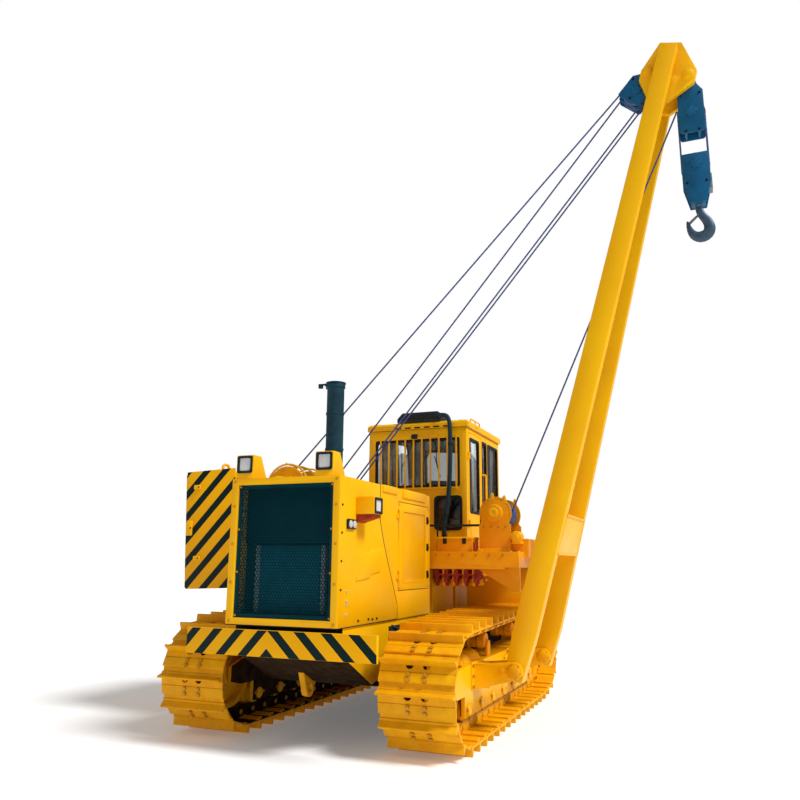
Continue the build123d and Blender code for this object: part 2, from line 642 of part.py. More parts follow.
tower = tower + box(480, 1000, -TOWER_BRACE, TOWER_Y[1] - 10, 1455, TOWER_BASE_Z[0] + 5)
LUG_X = (470.0, 1080.0)
LUG_HALF = 35.0
LUG_GAP = 6.0
for x in LUG_X:
    for sign in (1, -1):
        x0 = x + sign * (LUG_HALF + LUG_GAP)
        x1 = x0 + sign * 30
        outline = [(SWING_Y - 62, SWING_Z - 30), (SWING_Y - 35, SWING_Z - 62), (SWING_Y + 60, SWING_Z - 70),
                   (SWING_Y + 220, TOWER_BASE_Z[0] + 5), (SWING_Y - 20, TOWER_BASE_Z[0] + 5),
                   (SWING_Y - 58, SWING_Z + 50)]
        tower = tower + prism_x(outline, min(x0, x1), max(x0, x1))
    reach = LUG_HALF + LUG_GAP + 50
    tower = tower + rod_x(x - reach, x + reach, SWING_Y, SWING_Z, SWING_PIN_R)
CLEVIS_HALF = 48.0
for sign in (1, -1):
    x0 = CYLINDER_X + sign * CLEVIS_HALF
    x1 = x0 + sign * 25
    outline = [(BARREL_Y - 70, 1715), (BARREL_Y - 50, BARREL_Z + 55), (BARREL_Y + 50, BARREL_Z + 55),
               (BARREL_Y + 70, 1715)]
    tower = tower + prism_x(outline, min(x0, x1), max(x0, x1))
tower = tower + rod_x(CYLINDER_X - CLEVIS_HALF - 20, CYLINDER_X + CLEVIS_HALF + 20, BARREL_Y, BARREL_Z, 25)
save("winch_tower", tower)
save("boom_drum", make_drum(TOWER_REAR[1] + 8, TOWER_FRONT[0] - 8, BOOM_DRUM_Y, BOOM_DRUM_Z,
                            130, BOOM_WOUND_R, 255, (TOWER_REAR[0], TOWER_FRONT[1] + 55)))

ANCHOR_Y, ANCHOR_Z, ANCHOR_X = -950.0, 2330.0, 215.0
SHEAVE_R = 130.0
anchor_cheek = [(ANCHOR_Y - 150, ANCHOR_Z - 110), (ANCHOR_Y - 150, ANCHOR_Z + 40),
                (ANCHOR_Y - 20, ANCHOR_Z + 160), (ANCHOR_Y + 90, ANCHOR_Z + 160),
                (ANCHOR_Y + 120, ANCHOR_Z - 20), (ANCHOR_Y - 20, ANCHOR_Z - 150)]
anchor = fuse(
    prism_x(anchor_cheek, ANCHOR_X - 110, ANCHOR_X - 92),
    prism_x(anchor_cheek, ANCHOR_X + 92, ANCHOR_X + 110),
    rod_x(ANCHOR_X - 92, ANCHOR_X - 20, ANCHOR_Y, ANCHOR_Z, SHEAVE_R),
    rod_x(ANCHOR_X + 20, ANCHOR_X + 92, ANCHOR_Y, ANCHOR_Z, SHEAVE_R),
    rod_x(ANCHOR_X - 150, TOWER_REAR[0], ANCHOR_Y, ANCHOR_Z, 50),
)
save("luff_anchor", anchor)

# Counterweight, its lugs and its cylinder
lean = math.radians(CW_LEAN)


def lean_point(along, up):
    """Return a (y, z) point from distances out of and up along the leaning slab."""
    y = CW_CORNER[0] - along * math.cos(lean) - up * math.sin(lean)
    z = CW_CORNER[1] - along * math.sin(lean) + up * math.cos(lean)
    return (y, z)


weight = prism_x([lean_point(0, 0), lean_point(CW_THICK - 30, 0), lean_point(CW_THICK, 30),
                  lean_point(CW_THICK, CW_HEIGHT - 40), lean_point(CW_THICK - 40, CW_HEIGHT),
                  lean_point(0, CW_HEIGHT)], *CW_X)
for x in LUG_X:
    inner = lean_point(-3 + 13, 10)
    upper = lean_point(10, 95)
    lug = fuse(
        prism_x([(SWING_Y, SWING_Z - 55), (SWING_Y, SWING_Z + 55), upper, inner], x - LUG_HALF, x + LUG_HALF),
        rod_x(x - LUG_HALF, x + LUG_HALF, SWING_Y, SWING_Z, 62),
    )
    weight = weight + lug
    weight = weight - rod_x(x - LUG_HALF - 2, x + LUG_HALF + 2, SWING_Y, SWING_Z, SWING_PIN_R + CLEAR)
EYE_HALF = 30.0
for sign in (1, -1):
    x0 = CYLINDER_X + sign * (EYE_HALF + 6)
    x1 = x0 + sign * 25
    outline = [(ROD_EYE[0] + 40, ROD_EYE[1] - 35), (ROD_EYE[0] + 40, ROD_EYE[1] + 35),
               (ROD_EYE[0] - 120, ROD_EYE[1] + 90), (ROD_EYE[0] - 120, ROD_EYE[1] - 90)]
    weight = weight + prism_x(outline, min(x0, x1), max(x0, x1))
weight = weight + rod_x(CYLINDER_X - EYE_HALF - 30, CYLINDER_X + EYE_HALF + 30, *ROD_EYE, 22)
save("counterweight", weight)

aim = Vector(0, ROD_EYE[0] - BARREL_Y, ROD_EYE[1] - BARREL_Z)
REST_LENGTH = aim.length
aim = aim.normalized()


def on_cylinder(distance):
    """Return a point along the cylinder from its lower pin."""
    return (CYLINDER_X, BARREL_Y + aim.Y * distance, BARREL_Z + aim.Z * distance)


BARREL_LENGTH = REST_LENGTH - 66
# Room for the rod's eye, which drifts round its pin as the weight swings.
EYE_SLACK = 6.2
barrel = fuse(
    rod_x(CYLINDER_X - CLEVIS_HALF + 6, CYLINDER_X + CLEVIS_HALF - 6, BARREL_Y, BARREL_Z, 48),
    rod_between(on_cylinder(20), on_cylinder(110), 36),
    rod_between(on_cylinder(100), on_cylinder(BARREL_LENGTH), 58),
)
barrel = barrel - rod_x(CYLINDER_X - 60, CYLINDER_X + 60, BARREL_Y, BARREL_Z, 25 + CLEAR)
barrel = barrel - rod_between(on_cylinder(112), on_cylinder(BARREL_LENGTH + 10), 30 + CLEAR)
save("cylinder_barrel", barrel)
rod = fuse(
    rod_between(on_cylinder(118), on_cylinder(REST_LENGTH - 20), 30),
    rod_x(CYLINDER_X - EYE_HALF, CYLINDER_X + EYE_HALF, *ROD_EYE, 46),
)
rod = rod - rod_x(CYLINDER_X - 60, CYLINDER_X + 60, *ROD_EYE, 22 + EYE_SLACK)
save("cylinder_rod", rod)

# Platform, tank and fenders
platform = box(CAB_X[0], CAB_X[1] + 30, -CAB_HALF, CAB_HALF, 1500, CAB_Z[0])
save("cab_platform", platform)
tank = box(TANK_REAR, CAB_X[0], -CAB_HALF, CAB_HALF, 1330, 2380)
tank = tank - prism_y([(TANK_REAR - 10, 1300), (TANK_REAR - 10, 1700), (TANK_REAR + 290, 1300)],
                      -CAB_HALF - 50, CAB_HALF + 50)
tank = tank + rod_z(-2600, 450, 2375, 2430, 70)
save("fuel_tank", tank)
fenders = []
FENDER_OUT = TRACK_Y + SHOE_WIDTH / 2 - 20
for side in (LEFT, RIGHT):
    shape = box(-2200, -650, side * CAB_HALF, side * FENDER_OUT, 1500, 1535)
    shape = shape + box(-2200, -650, side * (FENDER_OUT - 35), side * FENDER_OUT, 1380, 1505)
    if side == RIGHT:
        shape = shape + box(-1900, -1000, side * CAB_HALF, side * 1100, 1530, 1760)
    fenders.append(shape)
save("fenders", group(*fenders))

# Cab
cab = box(*CAB_X, -CAB_HALF, CAB_HALF, *CAB_Z)
cab = cab - box(CAB_X[0] + CAB_WALL, CAB_X[1] - CAB_WALL, -CAB_HALF + CAB_WALL, CAB_HALF - CAB_WALL,
                CAB_Z[0] + 50, CAB_Z[1] + 10)


class Window(NamedTuple):
    """A fixed window: its wall and its limits along the wall and up."""

    wall: str
    a0: float
    a1: float
    z0: float
    z1: float


WINDOWS = (
    Window("front", *FRONT_WINDOW),
    Window("front", *FOOT_WINDOW),
    Window("front", -FOOT_WINDOW[1], -FOOT_WINDOW[0], FOOT_WINDOW[2], FOOT_WINDOW[3]),
    Window("back", -CAB_HALF + 188.0, CAB_HALF - 188.0, 2450.0, 3330.0),
    Window("left", -1640.0, -1430.0, 2450.0, 3370.0),
    Window("left", -2250.0, -1710.0, 2450.0, 3370.0),
    Window("right", -1640.0, -1430.0, 2450.0, 3370.0),
    Window("right", -2250.0, -1710.0, 2450.0, 3370.0),
)
GLASS = 8.0


def window_box(window, depth, thick):
    """Return a block in a window, at a depth below the wall's outer face."""
    if window.wall == "front":
        face = CAB_X[1] - depth
        return box(face - thick, face, window.a0, window.a1, window.z0, window.z1)
    if window.wall == "back":
        face = CAB_X[0] + depth
        return box(face, face + thick, window.a0, window.a1, window.z0, window.z1)
    side = LEFT if window.wall == "left" else RIGHT
    face = side * (CAB_HALF - depth)
    return box(window.a0, window.a1, face - side * thick, face, window.z0, window.z1)


panes = []
for window in WINDOWS:
    cab = cab - window_box(window, -10, CAB_WALL + 20)
    panes.append(window_box(window, 26, GLASS))
CAB_HINGES = (Hinge(2150.0), Hinge(3050.0))
CAB_HINGE_X, CAB_HINGE_OUT = CAB_DOOR_X[1] - 3, CAB_HALF + 17.0
for side in (LEFT, RIGHT):
    cab = cab - box(*CAB_DOOR_X, side * (CAB_HALF - CAB_WALL - 10), side * (CAB_HALF + 10), *CAB_DOOR_Z)
    for piece in hinge_fixed(CAB_HINGE_X, side * CAB_HINGE_OUT, side, CAB_HINGES, CAB_HINGE_X + 55):
        cab = cab + piece
save("cab_shell", cab)
save("cab_glass", group(*panes))
roof = box(CAB_X[0] - 30, CAB_X[1] + 14, -CAB_HALF - 30, CAB_HALF + 30, CAB_Z[1], ROOF_Z)
save("cab_roof", chamfer(roof.faces().sort_by(Axis.Z)[-1].edges(), 30))

for side, name in ((LEFT, "left"), (RIGHT, "right")):
    outer = side * CAB_HALF
    door = box(CAB_DOOR_X[0] + DOOR_GAP, CAB_DOOR_X[1] - DOOR_GAP, outer - side * CAB_WALL, outer,
               CAB_DOOR_Z[0] + DOOR_GAP, CAB_DOOR_Z[1] - DOOR_GAP)
    light = (CAB_DOOR_X[0] + 100, CAB_DOOR_X[1] - 80, 2350.0, 3340.0)
    through = (outer - side * (CAB_WALL + 10), outer + side * 10)
    door = door - box(light[0], light[1], *through, light[2], light[3])
    door = fuse(door, *hinge_moving(CAB_HINGE_X, side * CAB_HINGE_OUT, side, CAB_HINGES, CAB_HINGE_X - 55))
    save(f"cab_door_{name}", door)
    pane = box(light[0], light[1], outer - side * 26, outer - side * (26 + GLASS), light[2], light[3])
    save(f"cab_door_{name}_glass", pane)

bars = []
BAR_WIDE, BAR_THICK, BAR_PITCH, BAR_COUNT = 22.0, 14.0, 122.0, 10
GUARD_Z = (FRONT_WINDOW[2] - 40.0, FRONT_WINDOW[3] + 40.0)
FIRST_BAR = CAB_HALF - 142.0
LAST_BAR = FIRST_BAR - BAR_PITCH * (BAR_COUNT - 1)
for index in range(BAR_COUNT):
    y = FIRST_BAR - BAR_PITCH * index
    bars.append(box(CAB_X[1], CAB_X[1] + BAR_THICK, y - BAR_WIDE / 2, y + BAR_WIDE / 2, *GUARD_Z))
for z in (GUARD_Z[0] + 5, GUARD_Z[1] - 30):
    bars.append(box(CAB_X[1], CAB_X[1] + BAR_THICK, LAST_BAR - 20, FIRST_BAR + 20, z, z + 25))
save("window_guard", fuse(*bars))

floor = CAB_Z[0] + 50
seat = fuse(
    box(-1750, -1350, -220, 220, floor, floor + 330),
    box(-1790, -1270, -260, 260, floor + 325, floor + 460),
    prism_y([(-1800, floor + 400), (-1650, floor + 400), (-1740, floor + 1120), (-1850, floor + 1120)],
            -240, 240),
    box(-1780, -1380, -330, -265, floor + 560, floor + 620),
    box(-1780, -1380, 265, 330, floor + 560, floor + 620),
    box(-1780, -1720, -330, 330, floor + 560, floor + 620),
)
save("operator_seat", seat)
controls = fuse(
    box(-900, -744, -400, 400, floor, floor + 620),
    rod_z(-850, -250, floor + 610, floor + 900, 16),
    rod_z(-850, -100, floor + 610, floor + 900, 16),
    rod_z(-850, 100, floor + 610, floor + 900, 16),
    rod_z(-850, 250, floor + 610, floor + 900, 16),
)
save("operator_console", controls)
UNIT_Y = (-290.0, 350.0)
unit_end = [(-290, ROOF_Z), (-290, ROOF_Z + 60), (-210, ROOF_Z + 140), (300, ROOF_Z + 140),
            (UNIT_Y[1], ROOF_Z + 90), (UNIT_Y[1], ROOF_Z)]
unit = prism_x(unit_end, -1100, CAB_X[1] + 10)
HOSE_R = 30.0
HOSE_Y = 505.0
HOSE_Z = ROOF_Z + 62
hose_x = CAB_X[1] + 40 + HOSE_R + 2
hose_in = UNIT_Y[1] - HOSE_R - 10
hose = fuse(
    rod_z(hose_x, HOSE_Y, 2010, HOSE_Z, HOSE_R),
    rod_x(CAB_X[1] - 20, hose_x, hose_in, HOSE_Z, HOSE_R),
    rod_y(hose_x, hose_in, HOSE_Y, HOSE_Z, HOSE_R),
    Pos(hose_x, hose_in, HOSE_Z) * Sphere(HOSE_R),
    Pos(hose_x, HOSE_Y, HOSE_Z) * Sphere(HOSE_R),
    box(CAB_X[1], hose_x, HOSE_Y - 12, HOSE_Y + 12, 2040, 2064),
)
save("roof_unit", unit + hose)

# Boom, made upright about its foot pins and then leaned outwards
LEG_TOP = 7012.0
EAR_TOP = 7096.0
HEAD_HALF = EAR_X[1] + 115.0
leg = [(FOOT_SPREAD - LEG_HALF, -95), (FOOT_SPREAD + LEG_HALF, -95), (FOOT_SPREAD + LEG_HALF, 100),
       (HEAD_HALF, LEG_TOP), (EAR_X[1] - 5, LEG_TOP), (FOOT_SPREAD - LEG_HALF, 100)]
outline_front = prism_y(leg, -200, 200)
outline_rear = prism_y([(-x, z) for x, z in leg], -200, 200)
cross = prism_y([(-590, 1190), (590, 1190), (555, 1590), (-555, 1590)], -200, 200)
web = box(-EAR_X[1], EAR_X[1], -60, 60, LEG_TOP - 560, LEG_TOP)
side_taper = [(-90, -95), (90, -95), (118, 350), (118, 1600), (95, LEG_TOP), (-95, LEG_TOP), (-118, 1600),
              (-118, 350)]
taper = prism_x(side_taper, -900, 900)
boom = fuse(outline_front, cross, outline_rear, web) & taper
ear_plate = [(-116, EAR_TOP), (122, EAR_TOP), (351, 6760), (351, 6610), (120, 6380), (-100, 6380),
             (-255, 6620), (-255, 6740)]
for sign in (1, -1):
    near, far = sorted((sign * EAR_X[0], sign * EAR_X[1]))
    boom = boom + prism_x(ear_plate, near, far)
boom = boom - rod_x(-900, 900, 0, 0, FOOT_PIN_R + CLEAR)
for pin in (LUFF_PIN, LOAD_PIN):
    boom = boom + rod_x(-EAR_X[1] - 25, EAR_X[1] + 25, *pin, HEAD_PIN_R)
to_world = Pos(BOOM_X, FOOT_Y, FOOT_Z) * Rot(-BOOM_LEAN, 0, 0)
save("boom", to_world * boom)

tilt = math.radians(BOOM_LEAN)


def boom_point(out, up):
    """Return the world (y, z) of a point given across and along the boom."""
    y = FOOT_Y + out * math.cos(tilt) + up * math.sin(tilt)
    z = FOOT_Z - out * math.sin(tilt) + up * math.cos(tilt)
    return (y, z)


LUFF_Y, LUFF_Z = boom_point(*LUFF_PIN)
LOAD_Y, LOAD_Z = boom_point(*LOAD_PIN)
pull = math.atan2(ANCHOR_Z - LUFF_Z, ANCHOR_Y - LUFF_Y)


def luff_point(along, across):
    """Return the world (y, z) of a point given along and across the boom lines."""
    y = LUFF_Y + along * math.cos(pull) - across * math.sin(pull)
    z = LUFF_Z + along * math.sin(pull) + across * math.cos(pull)
    return (y, z)


SHEAVE_AT = 215.0
SHEAVE_Y, SHEAVE_Z = luff_point(SHEAVE_AT, 0)
cheek = [luff_point(-52, -28), luff_point(-52, 28), luff_point(0, 62), luff_point(80, 148),
         luff_point(340, 148), luff_point(358, 130), luff_point(358, -130), luff_point(340, -148),
         luff_point(80, -148), luff_point(0, -62)]
luff = fuse(
    prism_x(cheek, BOOM_X - 104, BOOM_X - 86),
    prism_x(cheek, BOOM_X + 86, BOOM_X + 104),
    prism_x(cheek, BOOM_X - 18, BOOM_X + 18),
    rod_x(BOOM_X - 86, BOOM_X - 18, SHEAVE_Y, SHEAVE_Z, SHEAVE_R),
    rod_x(BOOM_X + 18, BOOM_X + 86, SHEAVE_Y, SHEAVE_Z, SHEAVE_R),
    rod_x(BOOM_X - 90, BOOM_X + 90, SHEAVE_Y, SHEAVE_Z, 40),
)
luff = luff - rod_x(BOOM_X - 120, BOOM_X + 120, LUFF_Y, LUFF_Z, HEAD_PIN_R + CLEAR)
save("luff_block", luff)

# Load block under the outer ear, hook block and hook below it
UPPER_AXLE_Z = LOAD_Z - 420
upper_cheek = [(LOAD_Y - 60, LOAD_Z + 62), (LOAD_Y + 60, LOAD_Z + 62), (LOAD_Y + 75, LOAD_Z - 80),
               (LOAD_Y + 138, LOAD_Z - 170), (LOAD_Y + 138, LOAD_Z - 640), (LOAD_Y + 118, LOAD_Z - 670),
               (LOAD_Y - 118, LOAD_Z - 670), (LOAD_Y - 138, LOAD_Z - 640), (LOAD_Y - 138, LOAD_Z - 170),
               (LOAD_Y - 75, LOAD_Z - 80)]
upper = fuse(
    prism_x(upper_cheek, BOOM_X - 100, BOOM_X - 80),
    prism_x(upper_cheek, BOOM_X + 80, BOOM_X + 100),
    rod_x(BOOM_X - 80, BOOM_X - 14, LOAD_Y, UPPER_AXLE_Z, SHEAVE_R),
    rod_x(BOOM_X + 14, BOOM_X + 80, LOAD_Y, UPPER_AXLE_Z, SHEAVE_R),
    rod_x(BOOM_X - 85, BOOM_X + 85, LOAD_Y, UPPER_AXLE_Z, 40),
)
upper = upper - rod_x(BOOM_X - 120, BOOM_X + 120, LOAD_Y, LOAD_Z, HEAD_PIN_R + CLEAR)
save("load_block", upper)

LOWER_AXLE_Z = LOAD_Z - 1060
lower_cheek = [(LOAD_Y - 130, LOWER_AXLE_Z + 135), (LOAD_Y + 130, LOWER_AXLE_Z + 135),
               (LOAD_Y + 145, LOWER_AXLE_Z + 115), (LOAD_Y + 145, LOWER_AXLE_Z - 215),
               (LOAD_Y + 85, LOWER_AXLE_Z - 455), (LOAD_Y - 85, LOWER_AXLE_Z - 455),
               (LOAD_Y - 145, LOWER_AXLE_Z - 215), (LOAD_Y - 145, LOWER_AXLE_Z + 115)]
HOOK_TOP = LOWER_AXLE_Z - 470
lower = fuse(
    prism_x(lower_cheek, BOOM_X - 100, BOOM_X - 80),
    prism_x(lower_cheek, BOOM_X + 80, BOOM_X + 100),
    rod_x(BOOM_X - 80, BOOM_X - 14, LOAD_Y, LOWER_AXLE_Z, SHEAVE_R),
    rod_x(BOOM_X + 14, BOOM_X + 80, LOAD_Y, LOWER_AXLE_Z, SHEAVE_R),
    rod_x(BOOM_X - 85, BOOM_X + 85, LOAD_Y, LOWER_AXLE_Z, 40),
    box(BOOM_X - 95, BOOM_X + 95, LOAD_Y - 75, LOAD_Y + 75, HOOK_TOP + 20, HOOK_TOP + 130),
)
lower = lower - rod_z(BOOM_X, LOAD_Y, HOOK_TOP - 10, HOOK_TOP + 200, 38 + CLEAR)
save("hook_block", lower)

falls = []
for x in (BOOM_X - 47, BOOM_X + 47):
    for side in (LEFT, RIGHT):
        y = LOAD_Y + side * (SHEAVE_R + ROPE_R + CLEAR)
        falls.append(rod_z(x, y, LOWER_AXLE_Z, UPPER_AXLE_Z, ROPE_R))
save("hoist_falls", group(*falls))

BOWL_Z = HOOK_TOP - 270
HOOK_HALF = 42.0
# Outline of the hook across and up from its bowl: shank, heavy back, bottom and tip, then the throat inside.
HOOK_OUTLINE = (
    (-46, 270), (46, 270), (62, 190), (118, 122), (152, 45), (158, -30), (134, -95), (80, -140), (0, -158),
    (-75, -136), (-122, -80), (-142, 0), (-146, 80), (-132, 130), (-108, 104), (-88, 30), (-66, -4),
    (-24, -16), (14, 0), (34, 40), (24, 92), (-22, 160),
)
hook = fuse(
    prism_x([(LOAD_Y + across, BOWL_Z + up) for across, up in HOOK_OUTLINE],
            BOOM_X - HOOK_HALF, BOOM_X + HOOK_HALF),
    rod_z(BOOM_X, LOAD_Y, HOOK_TOP - 10, HOOK_TOP + 190, 38),
    rod_z(BOOM_X, LOAD_Y, HOOK_TOP + 130 + CLEAR, HOOK_TOP + 185, 62),
)
save("lifting_hook", hook)

# Taut ropes: three falls of the boom tackle, its lead to the winch, and the hook winch's line
TANGENT = SHEAVE_R + ROPE_R + CLEAR


class Fall(NamedTuple):
    """One fall of the boom tackle: its place along X and its side of the sheave."""

    offset: float
    across: int


lines = []
for fall in (Fall(-52, -1), Fall(-52, 1), Fall(52, 1)):
    start_y, start_z = luff_point(SHEAVE_AT, fall.across * TANGENT)
    end_y = ANCHOR_Y - fall.across * TANGENT * math.sin(pull)
    end_z = ANCHOR_Z + fall.across * TANGENT * math.cos(pull)
    start = (BOOM_X + fall.offset, start_y, start_z)
    lines.append(rod_between(start, (ANCHOR_X + fall.offset, end_y, end_z), ROPE_R))
save("boom_lines", group(*lines))

LEAD_X = 700.0
lead_y, lead_z = luff_point(SHEAVE_AT, -TANGENT)
wound = BOOM_WOUND_R + ROPE_R + CLEAR
run = math.hypot(lead_y - BOOM_DRUM_Y, lead_z - BOOM_DRUM_Z)
leave = math.atan2(lead_z - BOOM_DRUM_Z, lead_y - BOOM_DRUM_Y) + math.acos(wound / run)
lead_end = (LEAD_X, BOOM_DRUM_Y + wound * math.cos(leave), BOOM_DRUM_Z + wound * math.sin(leave))
lead_line = rod_between((BOOM_X + 52, lead_y, lead_z), lead_end, ROPE_R)
HOOK_LINE_X = 0.0
line_top_y, line_top_z = LOAD_Y - SHEAVE_R - ROPE_R - 8, UPPER_AXLE_Z + 90
wound = HOOK_WOUND_R + ROPE_R + CLEAR
run = math.hypot(line_top_y - HOOK_DRUM_Y, line_top_z - HOOK_DRUM_Z)
leave = math.atan2(line_top_z - HOOK_DRUM_Z, line_top_y - HOOK_DRUM_Y) - math.acos(wound / run)
hook_low = (HOOK_LINE_X, HOOK_DRUM_Y + wound * math.cos(leave), HOOK_DRUM_Z + wound * math.sin(leave))
hook_line = rod_between(hook_low, (BOOM_X, line_top_y, line_top_z), ROPE_R)
save("winch_lines", group(lead_line, hook_line))

print("load pin", round(LOAD_Y, 2), round(LOAD_Z, 2), "luff pin", round(LUFF_Y, 2), round(LUFF_Z, 2))
print("hook swivel", BOOM_X, round(LOAD_Y, 2), "bowl", round(BOWL_Z, 2), "upper axle", round(UPPER_AXLE_Z, 2))
print("cylinder length", round(REST_LENGTH, 2), "aim", round(aim.Y, 5), round(aim.Z, 5))
print("engine hinge", ENGINE_HINGE_X, ENGINE_HINGE_Y, "cab hinge", CAB_HINGE_X, CAB_HINGE_OUT)
print("cap hinge", CAP_HINGE_Y, CAP_HINGE_Z)
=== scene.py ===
"""Looks of a crawler pipelayer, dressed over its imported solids.

Pieces are built in millimetres in the part's own frame (+X forward, +Y to the boom side, +Z up)
and scaled to metres when they are finished.
"""
from __future__ import annotations

import json
import logging
import math
from dataclasses import dataclass, replace
from enum import Enum
from itertools import product
from typing import Any, Callable, Iterable, Sequence

import bmesh
import bpy
from mathutils import Matrix, Vector
from mathutils.geometry import convex_hull_2d

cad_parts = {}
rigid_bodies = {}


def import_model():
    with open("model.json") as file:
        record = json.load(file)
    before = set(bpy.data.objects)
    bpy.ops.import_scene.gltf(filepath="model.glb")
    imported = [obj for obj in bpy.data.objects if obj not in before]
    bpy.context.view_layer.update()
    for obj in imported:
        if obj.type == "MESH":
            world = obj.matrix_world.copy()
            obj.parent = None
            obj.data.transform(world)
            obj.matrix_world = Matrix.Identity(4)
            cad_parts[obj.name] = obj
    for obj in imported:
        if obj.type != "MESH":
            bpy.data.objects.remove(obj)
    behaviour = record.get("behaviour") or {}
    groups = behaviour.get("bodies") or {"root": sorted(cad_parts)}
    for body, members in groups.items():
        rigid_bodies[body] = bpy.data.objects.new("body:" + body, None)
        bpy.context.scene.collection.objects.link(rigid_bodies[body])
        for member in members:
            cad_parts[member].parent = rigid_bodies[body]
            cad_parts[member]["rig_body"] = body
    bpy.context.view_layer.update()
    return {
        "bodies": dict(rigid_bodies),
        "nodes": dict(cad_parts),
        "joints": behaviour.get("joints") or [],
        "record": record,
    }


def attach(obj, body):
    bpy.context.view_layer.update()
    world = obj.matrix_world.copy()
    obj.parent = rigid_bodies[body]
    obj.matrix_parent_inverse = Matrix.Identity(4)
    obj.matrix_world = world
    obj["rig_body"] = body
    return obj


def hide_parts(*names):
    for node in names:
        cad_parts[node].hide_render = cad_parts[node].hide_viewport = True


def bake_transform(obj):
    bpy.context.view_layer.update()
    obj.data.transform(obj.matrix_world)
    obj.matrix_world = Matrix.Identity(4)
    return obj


log = logging.getLogger("pipelayer")

MM = 0.001
LEFT, RIGHT = 1, -1
SIDES = (LEFT, RIGHT)
AHEAD, BEHIND, UP, DOWN = (1, 0, 0), (-1, 0, 0), (0, 0, 1), (0, 0, -1)
WHITE = (1.0, 1.0, 1.0, 1.0)
SHARP = math.radians(38)
Triple = tuple[float, float, float]
Pair = tuple[float, float]


# Materials


def linear(colour: str) -> tuple[float, float, float, float]:
    """Turn an sRGB hex colour into linear light.

    Args:
        colour: Six hex digits after a hash sign.

    Returns:
        Linear red, green, blue and an alpha of one.
    """
    channels = [int(colour[place:place + 2], 16) / 255 for place in (1, 3, 5)]
    light = [c / 12.92 if c <= 0.04045 else ((c + 0.055) / 1.055) ** 2.4 for c in channels]
    return (light[0], light[1], light[2], 1.0)


def add_node(tree: bpy.types.NodeTree, kind: str, settings: dict[Any, Any] | None = None,
             links: dict[Any, bpy.types.NodeSocket] | None = None) -> bpy.types.Node:
    """Add one shader node.

    Args:
        tree: The node tree that takes it.
        kind: The node's type name.
        settings: Values by input name or number, or by property name.
        links: Sockets by the input that they feed.

    Returns:
        The new node.
    """
    node = tree.nodes.new(kind)
    for key, value in (settings or {}).items():
        if isinstance(key, int) or key in node.inputs:
            node.inputs[key].default_value = value
        else:
            setattr(node, key, value)
    for key, socket in (links or {}).items():
        tree.links.new(socket, node.inputs[key])
    return node


def per_metre(size_mm: float) -> float:
    """Return the texture scale that gives a pattern of one size."""
    return 1000.0 / size_mm


class Stripe(Enum):
    """How warning stripes run over a panel."""

    NONE = "none"
    SLANTED = "slanted"
    CHEVRON = "chevron"


# Warning stripes: the dark share of each pitch, and each run's slope, pitch and start height.
STRIPE_COLOUR, STRIPE_SHARE = "#06201F", 0.41
CHEVRON_SLOPES, CHEVRON_MIDDLE_MM, CHEVRON_PITCH_MM, CHEVRON_START_MM = (1.10, 0.972), -103.0, 260.0, 826.0
SLANT_SLOPE, SLANT_PITCH_MM, SLANT_START_MM = 1.055, 267.5, 103.5


def add_stripes(tree: bpy.types.NodeTree, place: bpy.types.NodeSocket, colour: bpy.types.NodeSocket,
                stripe: Stripe) -> bpy.types.NodeSocket:
    """Lay black warning stripes over a paint colour.

    Args:
        tree: The material's node tree.
        place: Object coordinates.
        colour: The paint under the stripes.
        stripe: How the stripes run.

    Returns:
        The colour with its stripes.
    """
    split = add_node(tree, "ShaderNodeSeparateXYZ", links={"Vector": place}).outputs
    if stripe is Stripe.CHEVRON:
        arms = []
        for slope, sign in zip(CHEVRON_SLOPES, (-1, 1)):
            start = -sign * slope * CHEVRON_MIDDLE_MM * MM
            arm = {"operation": "MULTIPLY_ADD", 1: sign * slope, 2: start}
            arms.append(add_node(tree, "ShaderNodeMath", arm, {0: split["Y"]}).outputs[0])
        across = add_node(tree, "ShaderNodeMath", {"operation": "MAXIMUM"}, dict(enumerate(arms)))
        slope, pitch, start = 1.0, CHEVRON_PITCH_MM * MM, CHEVRON_START_MM * MM
    else:
        across = add_node(tree, "ShaderNodeMath", {"operation": "MULTIPLY", 1: -1.0}, {0: split["Y"]})
        slope, pitch, start = SLANT_SLOPE, SLANT_PITCH_MM * MM, SLANT_START_MM * MM
    value = add_node(tree, "ShaderNodeMath", {"operation": "MULTIPLY_ADD", 1: slope},
                     {0: across.outputs[0], 2: split["Z"]}).outputs[0]
    steps = {"SUBTRACT": start, "DIVIDE": pitch, "FRACT": 0.0, "LESS_THAN": STRIPE_SHARE}
    for operation, number in steps.items():
        value = add_node(tree, "ShaderNodeMath", {"operation": operation, 1: number}, {0: value}).outputs[0]
    dark = {"data_type": "RGBA", 7: linear(STRIPE_COLOUR)}
    return add_node(tree, "ShaderNodeMix", dark, {0: value, 6: colour}).outputs[2]


